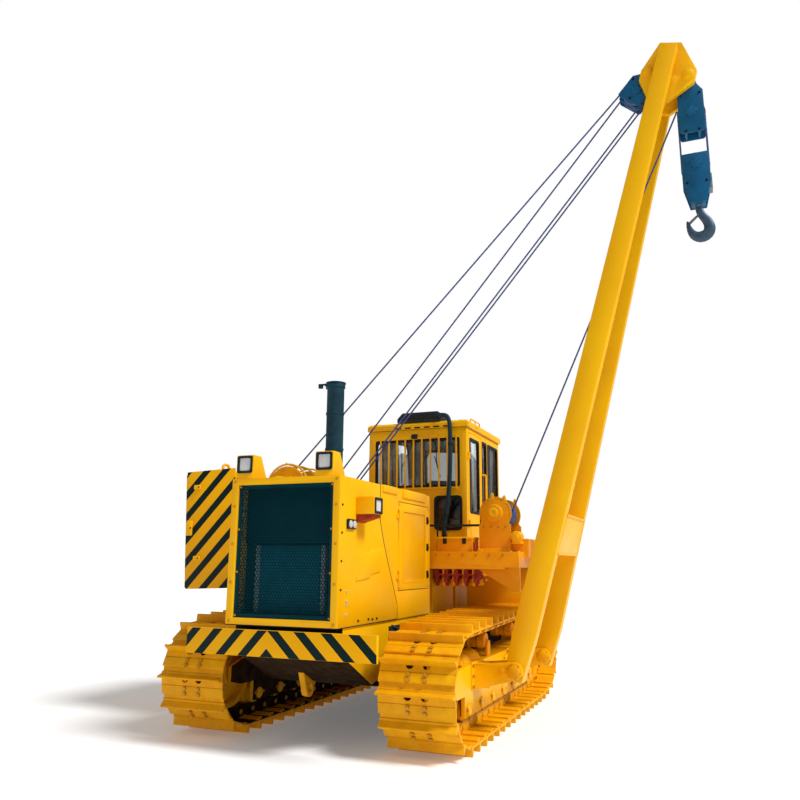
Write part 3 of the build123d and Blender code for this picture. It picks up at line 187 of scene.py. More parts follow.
@dataclass(frozen=True)
class Finish:
    """What a surface is made of, at its real scale.

    Attributes:
        name: The material's name.
        colour: Its main colour.
        second: The colour of its patches.
        rough: Its roughness.
        patch: Size of its faint patches in millimetres, and how far they go to the second colour.
        grain: Size of its fine bumps in millimetres, and their strength.
        metal: How metallic it is.
        coat: Strength of the clear top layer.
        clear: How much light goes through.
        sheen: Soft glow of cloth fibres.
        shine: Strength of the plain reflection.
        glow: Light of its own.
        stripe: Warning stripes over the colour.
    """

    name: str
    colour: str
    second: str
    rough: float
    patch: Pair
    grain: Pair
    metal: float = 0.0
    coat: float = 0.0
    clear: float = 0.0
    sheen: float = 0.0
    shine: float = 0.3
    glow: float = 0.0
    stripe: Stripe = Stripe.NONE

    def material(self) -> bpy.types.Material:
        """Make the material on first use.

        Returns:
            The material.
        """
        found = bpy.data.materials.get(self.name)
        if found:
            return found
        material = bpy.data.materials.new(self.name)
        material.use_nodes = True
        tree = material.node_tree
        tree.nodes.clear()
        place = add_node(tree, "ShaderNodeTexCoord").outputs["Object"]
        noise = {"Scale": per_metre(self.patch[0]), "Detail": 5.0, "Roughness": 0.6}
        patches = add_node(tree, "ShaderNodeTexNoise", noise, {"Vector": place}).outputs["Fac"]
        limits = {"From Min": 0.35, "From Max": 0.7, "To Min": 0.0, "To Max": self.patch[1]}
        share = add_node(tree, "ShaderNodeMapRange", limits, {"Value": patches}).outputs["Result"]
        paints = {"data_type": "RGBA", 6: linear(self.colour), 7: linear(self.second)}
        colour = add_node(tree, "ShaderNodeMix", paints, {0: share}).outputs[2]
        if self.stripe is not Stripe.NONE:
            colour = add_stripes(tree, place, colour, self.stripe)
        noise = {"Scale": per_metre(self.grain[0]), "Detail": 3.0, "Roughness": 0.5}
        grain = add_node(tree, "ShaderNodeTexNoise", noise, {"Vector": place}).outputs["Fac"]
        skin = {"Strength": self.grain[1], "Distance": self.grain[0] * MM * 0.4}
        bump = add_node(tree, "ShaderNodeBump", skin, {"Height": grain}).outputs["Normal"]
        limits = {"From Min": 0.3, "From Max": 0.7, "To Min": self.rough * 0.85, "To Max": self.rough * 1.15}
        gloss = add_node(tree, "ShaderNodeMapRange", limits, {"Value": patches}).outputs["Result"]
        looks = {"Metallic": self.metal, "Coat Weight": self.coat, "Coat Roughness": 0.18, "IOR": 1.5,
                 "Transmission Weight": self.clear, "Sheen Weight": self.sheen,
                 "Specular IOR Level": self.shine, "Emission Color": WHITE, "Emission Strength": self.glow}
        shader = add_node(tree, "ShaderNodeBsdfPrincipled", looks,
                          {"Base Color": colour, "Roughness": gloss, "Normal": bump})
        add_node(tree, "ShaderNodeOutputMaterial", links={"Surface": shader.outputs["BSDF"]})
        return material


# Sprayed machine enamel: clean, a little glossy, with faint warm patches and fine orange peel.
YELLOW = Finish("yellow_enamel", "#F8BC00", "#EFA200", 0.45, (700, 0.5), (2.5, 0.03), coat=0.06, shine=0.16)
# Yellow enamel tinted deeper orange as painted shade, on the deck and its winch.
ORANGE_SHADE_YELLOW = Finish("yellow_enamel_with_painted_shade", "#F0A200", "#E08800", 0.5, (300, 0.6), (3, 0.04), coat=0.04,
                     shine=0.16)
# The same enamel on castings and track shoes: duller, rubbed and with a coarser skin.
CAST_YELLOW = Finish("yellow_enamel_on_castings", "#F0AE00", "#D68A04", 0.52, (160, 0.6), (6, 0.12),
                     shine=0.16)
# Flatter enamel with masked black stripes, slanted on the counterweight and meeting in a point on the bumper.
STRIPED = Finish("striped_enamel", "#F2B000", "#E69A00", 0.48, (700, 0.5), (2.5, 0.03), shine=0.12,
                 stripe=Stripe.SLANTED)
CHEVRONS = replace(STRIPED, name="chevron_enamel", stripe=Stripe.CHEVRON)
# Enamel on a pressed door panel, whose punched dimples show as a coarse grain.
PUNCHED = Finish("punched_yellow_sheet", "#F2B200", "#D99400", 0.45, (400, 0.5), (9, 0.35))
# Painted shade: near-black brown that stands for the shade under the hull and inside the tracks, matt and
# uneven.
HULL_SHADE = Finish("painted_shade_under_hull", "#35230F", "#140F09", 0.9, (120, 0.9), (14, 0.5), shine=0.1)
# Dark red primer that shows between the painted plates under the deck; the same red stands as painted shade
# on the bracket under the side lamp.
RED_PRIMER_AND_SHADE = Finish("red_primer_and_painted_shade", "#A8371E", "#7E2415", 0.6, (90, 0.8), (4, 0.1))
# Brushed enamel on the rope blocks, worn darker in patches.
BLOCK_BLUE = Finish("dark_blue_enamel", "#0E5F8C", "#0C4466", 0.45, (220, 0.8), (3, 0.06), shine=0.2)
# Heat-proof enamel on the exhaust, dull and sooty.
STACK_BLUE = Finish("heat_proof_black_enamel", "#123C4C", "#08222C", 0.5, (150, 0.8), (3, 0.08), shine=0.2)
# Sprayed black enamel on small fittings.
BLACK = Finish("black_enamel", "#10201F", "#0A1514", 0.42, (200, 0.6), (3, 0.05))
# Dipped enamel on the punched grille, almost without shine.
GRILLE_BLACK = Finish("perforated_sheet_enamel", "#023640", "#032830", 0.6, (300, 0.6), (2, 0.05), shine=0.06)
# Soldered brass fins under thin paint: a fine, matt, rough surface.
CORE = Finish("radiator_fins", "#0F6478", "#0A4C5C", 0.6, (90, 0.6), (6, 0.5), shine=0.1)
# Zinc-rich enamel on the radiator's columns and the hook block's plates.
COLUMN_GREY = Finish("zinc_grey_enamel", "#7E8F98", "#5C6E78", 0.5, (90, 0.6), (4, 0.1))
# Moulded EPDM seals and gaiters: matt, with a fine skin.
RUBBER = Finish("black_rubber", "#151718", "#0E1011", 0.65, (80, 0.5), (1.5, 0.12))
# Rubber hose with a woven cover, drawn coarser than real so that it shows.
HOSE = Finish("braided_hose_rubber", "#12323F", "#0C222C", 0.5, (60, 0.6), (4, 0.2))
# Moulded ABS with a fine spark-eroded grain.
PLASTIC = Finish("moulded_black_plastic", "#1B2A38", "#0C141B", 0.45, (150, 0.6), (1.2, 0.1))
# Painted shade: dark brown patches that stand for the shaded openings of the moulded vents.
VENT_SHADE = Finish("vent_openings_painted_shade", "#241A08", "#140E04", 0.6, (60, 0.5), (2, 0.1))
# Moulded knobs and lamp covers, smooth under a clear skin.
RED_KNOB = Finish("red_knob_plastic", "#EE2A1E", "#C01C12", 0.3, (20, 0.4), (2, 0.03), coat=0.4)
# Rolled bar, bare and lightly tarnished.
STEEL = Finish("rolled_steel", "#8C9096", "#5E646B", 0.38, (60, 0.7), (2, 0.08), metal=1.0)
# Ground and plated rod and reflectors, almost a mirror.
CHROME = Finish("hard_chrome", "#D8DADC", "#C2C6CA", 0.12, (200, 0.3), (2, 0.01), metal=1.0)
# Forged steel with a blued scale and a coarse skin.
FORGED = Finish("forged_blue_steel", "#4A6076", "#2E4256", 0.45, (70, 0.8), (5, 0.15), metal=0.35)
# Drawn wires, greased, with a bluish shine.
ROPE = Finish("drawn_wire_rope", "#5C6EA6", "#3A4670", 0.5, (40, 0.8), (2, 0.2), metal=0.3)
# Plated heads with paint over them.
BOLT = Finish("plated_fasteners", "#D29A1C", "#A9720F", 0.4, (30, 0.6), (2, 0.06), metal=0.2)
# Bright heads that were fitted after painting.
PALE_BOLT = Finish("zinc_plated_fasteners", "#E4D9B4", "#C2B488", 0.35, (30, 0.5), (2, 0.05), metal=0.5)
# Phosphated heads: dark and half matt.
DARK_BOLT = Finish("phosphated_fasteners", "#2A2118", "#17120C", 0.5, (30, 0.5), (2, 0.06), metal=0.4)
# Clear float glass, flat but for a very faint wave.
GLASS = Finish("cab_glass", "#F2F6F7", "#E8EFF1", 0.03, (900, 0.2), (60, 0.004), clear=1.0, shine=0.5)
# Pressed glass with a pebbled back.
LENS = Finish("lamp_glass", "#F2F4F6", "#E2E6EA", 0.08, (100, 0.3), (9, 0.3), clear=0.9)
# Woven seat cloth: a soft edge glow over coarse threads.
CLOTH = Finish("seat_cloth", "#2A2F34", "#1B1F22", 0.85, (40, 0.6), (2.4, 0.4), sheen=0.4)
# Foam-backed vinyl inside the cab: pale grey, matt and finely grained; the pale grey also stands for the
# white reflected on the windows, as painted reflection.
LINING_AND_REFLECTION_GREY = Finish("grey_lining_and_painted_reflection", "#A4A6A2", "#8C8F8B", 0.75, (200, 0.5), (4, 0.2))
# Painted concrete, nearly white and without shine.
FLOOR = Finish("pale_floor", "#F6F6F6", "#F2F2F2", 0.9, (9000, 0.3), (40, 0.0), shine=0.0, glow=0.14)


# Mesh building


def soften(part: bmesh.types.BMesh, edges: Sequence[bmesh.types.BMEdge], radius: float,
           segments: int = 2) -> None:
    """Round some edges of a small mesh.

    Args:
        part: The mesh.
        edges: Its edges to round.
        radius: The width of the rounding in millimetres.
        segments: Steps across the rounding.
    """
    if radius > 0:
        bmesh.ops.bevel(part, geom=list(edges), offset=radius, segments=segments, profile=0.5, affect="EDGES",
                        material=-1, clamp_overlap=True)


def kind_of(items: Iterable[Any], kind: type) -> list[Any]:
    """Return the vertices or edges among what an operator gives."""
    return [item for item in items if isinstance(item, kind)]


def draw_out(part: bmesh.types.BMesh, faces: Sequence[bmesh.types.BMFace], way: Triple) -> None:
    """Extrude some faces of a small mesh and turn its normals outwards.

    Args:
        part: The mesh.
        faces: Its faces to extrude.
        way: How far they move.
    """
    grown = bmesh.ops.extrude_face_region(part, geom=faces)["geom"]
    bmesh.ops.translate(part, verts=kind_of(grown, bmesh.types.BMVert), vec=way)
    bmesh.ops.recalc_face_normals(part, faces=part.faces[:])


def turned(at: Triple, way: Triple) -> Matrix:
    """Return the matrix that takes local +Z to a way, and the origin to a point."""
    return Matrix.Translation(at) @ Vector(way).to_track_quat("Z", "Y").to_matrix().to_4x4()


def along(start: Triple, end: Triple) -> Matrix:
    """Return the matrix that takes local +Z to the way from start to end, centred between them."""
    a, b = Vector(start), Vector(end)
    return turned((a + b) / 2, b - a)


def rounded(u: Pair, v: Pair, radius: float, steps: int = 5) -> list[Pair]:
    """Draw a rectangle with round corners.

    Args:
        u: Its limits along the first axis.
        v: Its limits along the second axis.
        radius: The corners' radius.
        steps: Segments in each corner.

    Returns:
        Its outline.
    """
    corners = ((u[1] - radius, v[1] - radius, 0), (u[0] + radius, v[1] - radius, 90),
               (u[0] + radius, v[0] + radius, 180), (u[1] - radius, v[0] + radius, 270))
    points = []
    for centre_u, centre_v, first in corners:
        for step in range(steps + 1):
            angle = math.radians(first + 90 * step / steps)
            points.append((centre_u + radius * math.cos(angle), centre_v + radius * math.sin(angle)))
    return points


def mirrored(profile: Sequence[Pair]) -> list[Pair]:
    """Return the other half of a turned profile, in reverse order."""
    return [(radius, -distance) for radius, distance in reversed(profile)]


def round_path(corners: Sequence[Triple], radius: float, steps: int = 4) -> list[Triple]:
    """Bend a rigid bar's corners to a radius.

    Args:
        corners: The points where its straight runs meet.
        radius: How far from a corner the bend starts.
        steps: Segments in each bend.

    Returns:
        Its middle line.
    """
    points = [Vector(corners[0])]
    for before, corner, after in zip(corners, corners[1:], corners[2:]):
        middle = Vector(corner)
        first = middle + (Vector(before) - middle).normalized() * radius
        last = middle + (Vector(after) - middle).normalized() * radius
        for step in range(steps + 1):
            share = step / steps
            points.append(first.lerp(middle, share).lerp(middle.lerp(last, share), share))
    points.append(Vector(corners[-1]))
    return points


def smooth(route: Sequence[Triple]) -> list[Vector]:
    """Follow a hose's route.

    Args:
        route: The control points of its NURBS curve.

    Returns:
        Points along that curve.
    """
    curve = bpy.data.curves.new("route", "CURVE")
    curve.dimensions = "3D"
    curve.resolution_u = 5
    spline = curve.splines.new("NURBS")
    spline.points.add(len(route) - 1)
    for point, place in zip(spline.points, route):
        point.co = (*place, 1.0)
    spline.order_u = 3
    spline.use_endpoint_u = True
    holder = bpy.data.objects.new("route", curve)
    line = bpy.data.meshes.new_from_object(holder)
    points = [vert.co.copy() for vert in line.vertices]
    bpy.data.objects.remove(holder)
    bpy.data.curves.remove(curve)
    bpy.data.meshes.remove(line)
    return points


# A wire rope's grooves as a share of its radius, and its lay and the steps along it in radii.
GROOVE, LAY, STEP = 0.72, 14, 2.2
# Washers and heads of bolts, as shares of the size across a head.
WASHER_HIGH, WASHER_WIDE, HEAD_HIGH, HEAD_WIDE, HEAD_SOFT = 0.12, 0.68, 0.62, 0.58, 0.05
# Where a point of an outline goes when it is drawn along each axis.
PLACES: dict[str, Callable[[float, float, float], Triple]] = {
    "x": lambda u, v, w: (w, u, v),
    "y": lambda u, v, w: (u, w, v),
    "z": lambda u, v, w: (u, v, w),
}


class Piece:
    """One visible piece, gathered from small meshes in millimetres."""

    def __init__(self, name: str) -> None:
        """Start an empty piece.

        Args:
            name: The finished object's name.
        """
        self.name = name
        self.mesh = bmesh.new()
        self.finishes: list[Finish] = []
        self.current = 0
        self.carrier = bpy.data.meshes.new(name + "_carrier")

    def use(self, finish: Finish) -> Piece:
        """Choose the finish of what is added next.

        Args:
            finish: The finish.

        Returns:
            The piece itself.
        """
        if finish not in self.finishes:
            self.finishes.append(finish)
        self.current = self.finishes.index(finish)
        return self

    def carry(self, part: bmesh.types.BMesh) -> None:
        """Move a small mesh into the piece.

        Args:
            part: The mesh, which is freed.
        """
        part.to_mesh(self.carrier)
        part.free()
        self.mesh.from_mesh(self.carrier)

    def take(self, part: bmesh.types.BMesh, matrix: Matrix | None = None) -> None:
        """Add a small mesh in the current finish.

        Args:
            part: The mesh, which is freed.
            matrix: Where to place it.
        """
        if matrix is not None:
            bmesh.ops.transform(part, matrix=matrix, verts=part.verts[:])
        for face in part.faces:
            face.material_index = self.current
            face.smooth = True
        self.carry(part)

    def stamp(self, other: Piece, matrix: Matrix) -> None:
        """Add a copy of another piece.

        Args:
            other: The pattern.
            matrix: Where to place the copy.
        """
        part = other.mesh.copy()
        bmesh.ops.transform(part, matrix=matrix, verts=part.verts[:])
        here = self.current
        numbers = [self.use(finish).current for finish in other.finishes]
        for face in part.faces:
            face.material_index = numbers[face.material_index]
        self.carry(part)
        self.current = here

    def block(self, corner: Triple, other: Triple, soft: float = 0.0) -> None:
        """Add a box.

        Args:
            corner: One of its corners.
            other: The corner across from it.
            soft: Rounding of its edges.
        """
        part = bmesh.new()
        low = Vector([min(pair) for pair in zip(corner, other)])
        high = Vector([max(pair) for pair in zip(corner, other)])
        size = Matrix.Diagonal((*(high - low), 1.0))
        bmesh.ops.create_cube(part, size=1.0, matrix=Matrix.Translation((low + high) / 2) @ size)
        bmesh.ops.recalc_face_normals(part, faces=part.faces[:])
        soften(part, part.edges[:], soft)
        self.take(part)

    def rod(self, start: Triple, end: Triple, radius: float, sides: int = 24, soft: float = 0.0) -> None:
        """Add a round bar.

        Args:
            start: The middle of one end.
            end: The middle of the other.
            radius: Its radius.
            sides: Segments round it.
            soft: Rounding of its rims.
        """
        part = bmesh.new()
        length = (Vector(end) - Vector(start)).length
        bmesh.ops.create_cone(part, cap_ends=True, segments=sides, radius1=radius, radius2=radius,
                              depth=length)
        rims = [edge for edge in part.edges if abs(edge.verts[0].co.z - edge.verts[1].co.z) < 0.001]
        soften(part, rims, soft)
        self.take(part, along(start, end))

    def lathe(self, profile: Sequence[Pair], start: Triple, way: Triple, steps: int = 48) -> None:
        """Add a turned shape.

        Args:
            profile: Radius and distance along the axis of each point.
            start: Where the axis starts.
            way: Where it points.
            steps: Segments round the axis.
        """
        part = bmesh.new()
        points = [part.verts.new((radius, 0.0, distance)) for radius, distance in profile]
        lines = [part.edges.new(pair) for pair in zip(points, points[1:])]
        bmesh.ops.spin(part, geom=points + lines, cent=(0, 0, 0), axis=(0, 0, 1), angle=math.tau, steps=steps,
                       use_merge=True)
        bmesh.ops.remove_doubles(part, verts=part.verts[:], dist=0.01)
        bmesh.ops.recalc_face_normals(part, faces=part.faces[:])
        self.take(part, turned(start, way))

    def prism(self, outline: Sequence[Pair], axis: str, near: float, far: float, soft: float = 0.0) -> None:
        """Add an outline drawn out along one axis.

        Args:
            outline: Points on the two other axes, in their order.
            axis: The axis it is drawn along.
            near: One end.
            far: The other end.
            soft: Rounding of its edges.
        """
        part = bmesh.new()
        place = PLACES[axis]
        face = part.faces.new([part.verts.new(place(u, v, min(near, far))) for u, v in outline])
        draw_out(part, [face], place(0.0, 0.0, abs(far - near)))
        soften(part, part.edges[:], soft)
        self.take(part)

    def ring(self, outer: Sequence[Pair], inner: Sequence[Pair], axis: str, low: float, high: float) -> None:
        """Add a frame drawn out along one axis.

        Args:
            outer: Its outline on the two other axes.
            inner: Its opening, with as many points.
            axis: The axis it is drawn along.
            low: Where it starts.
            high: Where it ends.
        """
        part = bmesh.new()
        place = PLACES[axis]
        edges = []
        for outline in (outer, inner):
            points = [part.verts.new(place(u, v, low)) for u, v in outline]
            edges += [part.edges.new((points[index - 1], points[index])) for index in range(len(points))]
        draw_out(part, bmesh.ops.bridge_loops(part, edges=edges)["faces"], place(0.0, 0.0, high - low))
        self.take(part)

    def sweep(self, path: Sequence[Triple], radii: Sequence[float], sides: int = 10,
              flat: float = 1.0) -> None:
        """Add a bar along a path.

        Args:
            path: Its middle line.
            radii: Its radius at each point, or one radius for all.
            sides: Segments round it.
            flat: Its width along X as a share of its radius.
        """
        part = bmesh.new()
        points = [Vector(point) for point in path]
        sizes = list(radii) if len(radii) > 1 else [radii[0]] * len(points)
        turn = (points[1] - points[0]).to_track_quat("Z", "Y")
        before = (points[1] - points[0]).normalized()
        squeeze = Matrix.Diagonal((flat, 1.0, 1.0, 1.0))
        rings = []
        for index, point in enumerate(points):
            near, far = points[max(index - 1, 0)], points[min(index + 1, len(points) - 1)]
            way = (far - near).normalized()
            turn = before.rotation_difference(way) @ turn
            before = way
            matrix = Matrix.Translation(point) @ squeeze @ turn.to_matrix().to_4x4()
            ends = index in (0, len(points) - 1)
            made = bmesh.ops.create_circle(part, cap_ends=ends, segments=sides, radius=sizes[index],
                                           matrix=matrix)
            outer = set(made["verts"])
            rings.append([edge for edge in part.edges if edge.verts[0] in outer and edge.verts[1] in outer
                          and (not ends or len(edge.link_faces) == 1)])
        for first, second in zip(rings, rings[1:]):
            bmesh.ops.bridge_loops(part, edges=first + second)
        bmesh.ops.recalc_face_normals(part, faces=part.faces[:])
        self.take(part)

    def rope(self, start: Triple, end: Triple, radius: float) -> None:
        """Add a straight wire rope with six twisted strands.

        Args:
            start: One end.
            end: The other end.
            radius: Radius over the strands.
        """
        part = bmesh.new()
        length = (Vector(end) - Vector(start)).length
        bmesh.ops.create_circle(part, segments=12, radius=radius,
                                matrix=Matrix.Translation((0, 0, -length / 2)))
        for vert in part.verts[:][1::2]:
            vert.co.xy *= GROOVE
        steps = max(int(length / (radius * STEP)), 2)
        lay = radius * LAY
        edges = part.edges[:]
        for _ in range(steps):
            grown = bmesh.ops.extrude_edge_only(part, edges=edges)["geom"]
            moved = kind_of(grown, bmesh.types.BMVert)
            edges = kind_of(grown, bmesh.types.BMEdge)
            bmesh.ops.translate(part, verts=moved, vec=(0, 0, length / steps))
            bmesh.ops.rotate(part, verts=moved, cent=(0, 0, 0),
                             matrix=Matrix.Rotation(math.tau * length / steps / lay, 3, "Z"))
        bmesh.ops.recalc_face_normals(part, faces=part.faces[:])
        self.take(part, along(start, end))

    def bolts(self, places: Iterable[Triple], out: Triple, across: float, high: float | None = None) -> None:
        """Add hexagon bolt heads with washers.

        Args:
            places: Where they stand.
            out: The way that their face looks.
            across: Size of a head.
            high: Height of a head, where it isn't the usual one.
        """
        way = Vector(out).normalized()
        for at in places:
            washer = Vector(at) + way * across * WASHER_HIGH
            self.rod(Vector(at), washer, across * WASHER_WIDE, sides=16)
            top = washer + way * (high or across * HEAD_HIGH)
            self.rod(washer, top, across * HEAD_WIDE, sides=6, soft=across * HEAD_SOFT)

    def bolt_circle(self, centre: Triple, out: Triple, radius: float, count: int, across: float) -> None:
        """Add bolts evenly round a centre.

        Args:
            centre: The circle's middle.
            out: The way that their face looks.
            radius: The circle's radius.
            count: How many.
            across: Size of a head.
        """
        way = Vector(out).normalized()
        side = way.orthogonal().normalized() * radius
        turns = (Matrix.Rotation(math.tau * index / count, 3, way) for index in range(count))
        self.bolts([Vector(centre) + turn @ side for turn in turns], way, across)

    def drop(self) -> None:
        """Free a pattern that has been stamped."""
        self.mesh.free()
        bpy.data.meshes.remove(self.carrier)

    def weld(self, start: Triple, end: Triple, size: float) -> None:
        """Add a rippled weld bead along an inner corner.

        Args:
            start: One end.
            end: The other end.
            size: Its width.
        """
        a, b = Vector(start), Vector(end)
        count = max(int((b - a).length / (size * 1.6)), 2)
        path = [a.lerp(b, index / count) for index in range(count + 1)]
        self.sweep(path, [size * (0.5 + 0.12 * (index % 2)) for index in range(count + 1)], sides=6)

    def show(self) -> bpy.types.Object:
        """Turn the piece into an object, in metres.

        Returns:
            The new object.
        """
        mesh = bpy.data.meshes.new(self.name)
        self.mesh.to_mesh(mesh)
        self.drop()
        mesh.transform(Matrix.Scale(MM, 4))
        mesh.set_sharp_from_angle(angle=SHARP)
        return place_mesh(self.name, mesh, self.finishes)

    def done(self, body: str, slot: str, replaces: Sequence[str] = ()) -> bpy.types.Object:
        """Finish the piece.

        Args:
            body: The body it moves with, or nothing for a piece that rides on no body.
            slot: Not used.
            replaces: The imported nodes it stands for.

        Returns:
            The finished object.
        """
        shown = self.show()
        if body:
            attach(shown, body)
        if replaces:
            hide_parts(*replaces)
        log.info("made %s", self.name)
        return shown


def place_mesh(name: str, mesh: bpy.types.Mesh, finishes: Iterable[Finish]) -> bpy.types.Object:
    """Put a mesh into the scene.

    Args:
        name: The object's name.
        mesh: Its mesh.
        finishes: What its material numbers mean.

    Returns:
        The new object.
    """
    for finish in finishes:
        mesh.materials.append(finish.material())
    shown = bpy.data.objects.new(name, mesh)
    bpy.context.scene.collection.objects.link(shown)
    return shown


Chooser = Callable[[Vector, Vector], bool]


@dataclass(frozen=True)
class Dress:
    """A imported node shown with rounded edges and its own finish.

    Attributes:
        node: The node's name.
        finish: Its main finish.
        edge_mm: Rounding of its edges.
        second: Another finish, for the faces that the chooser names.
        choose: Tells by normal and centre (in millimetres) whether a face takes the second finish.
        trim: A point in millimetres and the outward normal of a plane that the copy is cut to.
    """

    node: str
    finish: Finish
    edge_mm: float
    second: Finish | None = None
    choose: Chooser | None = None
    trim: tuple[Triple, Triple] | None = None

    def build(self, frame: dict[str, Any]) -> None:
        """Copy the node's mesh, round its edges and show the copy in its place.

        Args:
            frame: The loaded frame.
        """
        source = frame["nodes"][self.node]
        part = bmesh.new()
        part.from_mesh(source.data)
        bmesh.ops.remove_doubles(part, verts=part.verts[:], dist=1e-5)
        bmesh.ops.dissolve_limit(part, angle_limit=math.radians(1.0), verts=part.verts[:],
                                 edges=part.edges[:])
        if self.trim:
            cut = bmesh.ops.bisect_plane(part, geom=part.verts[:] + part.edges[:] + part.faces[:],
                                         plane_co=Vector(self.trim[0]) * MM, plane_no=self.trim[1],
                                         clear_outer=True)
            bmesh.ops.contextual_create(part, geom=kind_of(cut["geom_cut"], bmesh.types.BMEdge))
        for face in part.faces:
            face.smooth = True
            centre = face.calc_center_median() / MM
            face.material_index = int(bool(self.choose) and self.choose(face.normal, centre))
        mesh = bpy.data.meshes.new(self.node + "_looks")
        part.to_mesh(mesh)
        part.free()
        shown = place_mesh(mesh.name, mesh, (self.finish, self.second) if self.second else (self.finish,))
        bevel = shown.modifiers.new("edges", "BEVEL")
        bevel.width = self.edge_mm * MM
        bevel.segments = 2
        bevel.limit_method = "ANGLE"
        bevel.angle_limit = SHARP
        bevel.use_clamp_overlap = True
        bevel.harden_normals = True
        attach(shown, source["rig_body"])
        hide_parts(self.node)
        log.info("dressed %s", self.node)


# Sub-assemblies, in millimetres


@dataclass(frozen=True)
class Tracks:
    """Both tracks: shoes with grousers, links and pins round the wheels.

    Attributes:
        centre: Half the gauge.
        half_shoe: Half the shoes' width.
        count: Shoes in each track.
        idler: Place along X, height and pin radius of the front wheel.
        sprocket: The same of the rear wheel.
        corner: Where the ground run turns up to the sprocket.
        bolt_y: How far the shoe bolts stand from the middle.
        bar: Side view of a shoe's grouser, along it as a share of the pitch and out from the pins.
        lap: The same of its rear plate.
        lip: The same of the lip under the next shoe.
    """

    centre: float = 1175.0
    half_shoe: float = 360.0
    count: int = 43
    idler: Triple = (1913.0, 570.0, 415.0)
    sprocket: Triple = (-1655.0, 631.6, 441.6)
    corner: Pair = (-1260.0, 155.0)
    bolt_y: float = 80.0
    bar: tuple[Pair, ...] = ((0.02, 66), (0.02, 81), (0.10, 85), (0.138, 147), (0.152, 154), (0.218, 154),
                             (0.235, 147), (0.30, 86), (0.30, 66))
    lap: tuple[Pair, ...] = ((0.575, 64), (0.575, 82), (0.60, 87), (0.945, 86), (0.98, 80), (0.98, 65))
    lip: tuple[Pair, ...] = ((0.90, 50), (0.90, 66), (1.0, 63), (1.30, 48), (1.30, 38), (1.0, 50))

    def build(self) -> None:
        """Lay shoes and links round both loops."""
        pins, pitch = self.pins()
        for side, name in zip(SIDES, ("left", "right")):
            patterns = (self.shoe(pitch, side), self.link(pitch, side))
            piece = Piece(f"track_{name}_shoes")
            for pin, following in zip(pins, pins[1:] + pins[:1]):
                way = (following - pin).normalized()
                matrix = Matrix(((way.x, 0, -way.y, pin.x), (0, 1, 0, side * self.centre),
                                 (way.y, 0, way.x, pin.y), (0, 0, 0, 1)))
                for pattern in patterns:
                    piece.stamp(pattern, matrix)
            piece.done("tractor", "track_paint", [f"track_{name}"])
            for pattern in patterns:
                pattern.drop()

    def pins(self) -> tuple[list[Vector], float]:
        """Lay the pins round the loop.

        Returns:
            The pins on the side view, in order, and their pitch.
        """
        rim = [Vector(self.corner)]
        for x, z, radius in (self.idler, self.sprocket):
            turns = [math.tau * step / 720 for step in range(720)]
            rim += [Vector((x + radius * math.cos(turn), z + radius * math.sin(turn))) for turn in turns]
        loop = [rim[index] for index in convex_hull_2d(rim)]
        under = Vector((self.idler[0], self.idler[1] - self.idler[2]))
        first = min(range(len(loop)), key=lambda index: (loop[index] - under).length)
        loop = loop[first:] + loop[:first]
        if loop[1].x > loop[0].x:
            loop = loop[:1] + loop[:0:-1]
        runs = list(zip(loop, loop[1:] + loop[:1]))
        pitch = sum((b - a).length for a, b in runs) / self.count
        wanted = (self.idler[0] - self.corner[0]) % pitch
        gone = 0.0
        pins = []
        for a, b in runs:
            length = (b - a).length
            while len(pins) < self.count and wanted <= gone + length:
                pins.append(a.lerp(b, (wanted - gone) / length))
                wanted += pitch
            gone += length
        return pins, pitch

    def shoe(self, pitch: float, side: int) -> Piece:
        """Make one shoe: its grouser, its plate with two half-round windows, its rear lap and its bolts.

        Args:
            pitch: The chain's pitch.
            side: The side of the machine, whose inner half is painted dark as shade.

        Returns:
            The pattern piece.
        """
        piece = Piece("shoe").use(CAST_YELLOW)
        half = self.half_shoe
        for outline, wide, soft in ((self.bar, half, 2.5), (self.lap, half, 2.0), (self.lip, half - 8, 0.0)):
            piece.prism([(share * pitch, out) for share, out in outline], "y", -wide, wide, soft)
        edge = 0.295 * pitch
        outline = [(edge, -half), (0.565 * pitch, -half), (0.565 * pitch, half), (edge, half)]
        for middle in (self.bolt_y, -self.bolt_y):
            turns = [math.radians(angle) for angle in range(0, 181, 30)]
            outline += [(edge + 36 * math.sin(turn), middle + 38 * math.cos(turn)) for turn in turns]
        piece.prism(outline, "z", 66, 84)
        # Painted shade: a dark pad under the windows and a dark plate under the shoe's inner half.
        piece.use(HULL_SHADE).block((0.27 * pitch, -135, 48), (0.50 * pitch, 135, 63))
        piece.block((0.04 * pitch, -side * 135, 58), (0.94 * pitch, -side * (half - 3), 66))
        places = product((0.665 * pitch, 0.885 * pitch), (-self.bolt_y, self.bolt_y), (85,))
        piece.use(BOLT).bolts(places, UP, 34, 15)
        return piece

    def link(self, pitch: float, inside: int) -> Piece:
        """Make one pair of links with its bushing and its pin.

        Args:
            pitch: The chain's pitch.
            inside: The side of the machine, whose inner links are painted dark as shade.

        Returns:
            The pattern piece.
        """
        piece = Piece("link")
        outline = [(10, -44), (34, -55), (pitch - 34, -55), (pitch - 10, -44), (pitch - 4, 36),
                   (pitch - 16, 64), (16, 64), (4, 36)]
        for side in SIDES:
            # Painted shade: the inner links are dark, the outer ones yellow.
            piece.use(CAST_YELLOW if side == inside else HULL_SHADE).prism(outline, "y", side * 72, side * 128, 4)
            piece.rod((0, side * 66, 0), (0, side * 134, 0), 49, 20, 4)
        piece.use(BOLT).rod((0, -143, 0), (0, 143, 0), 25, 16, 3)
        return piece


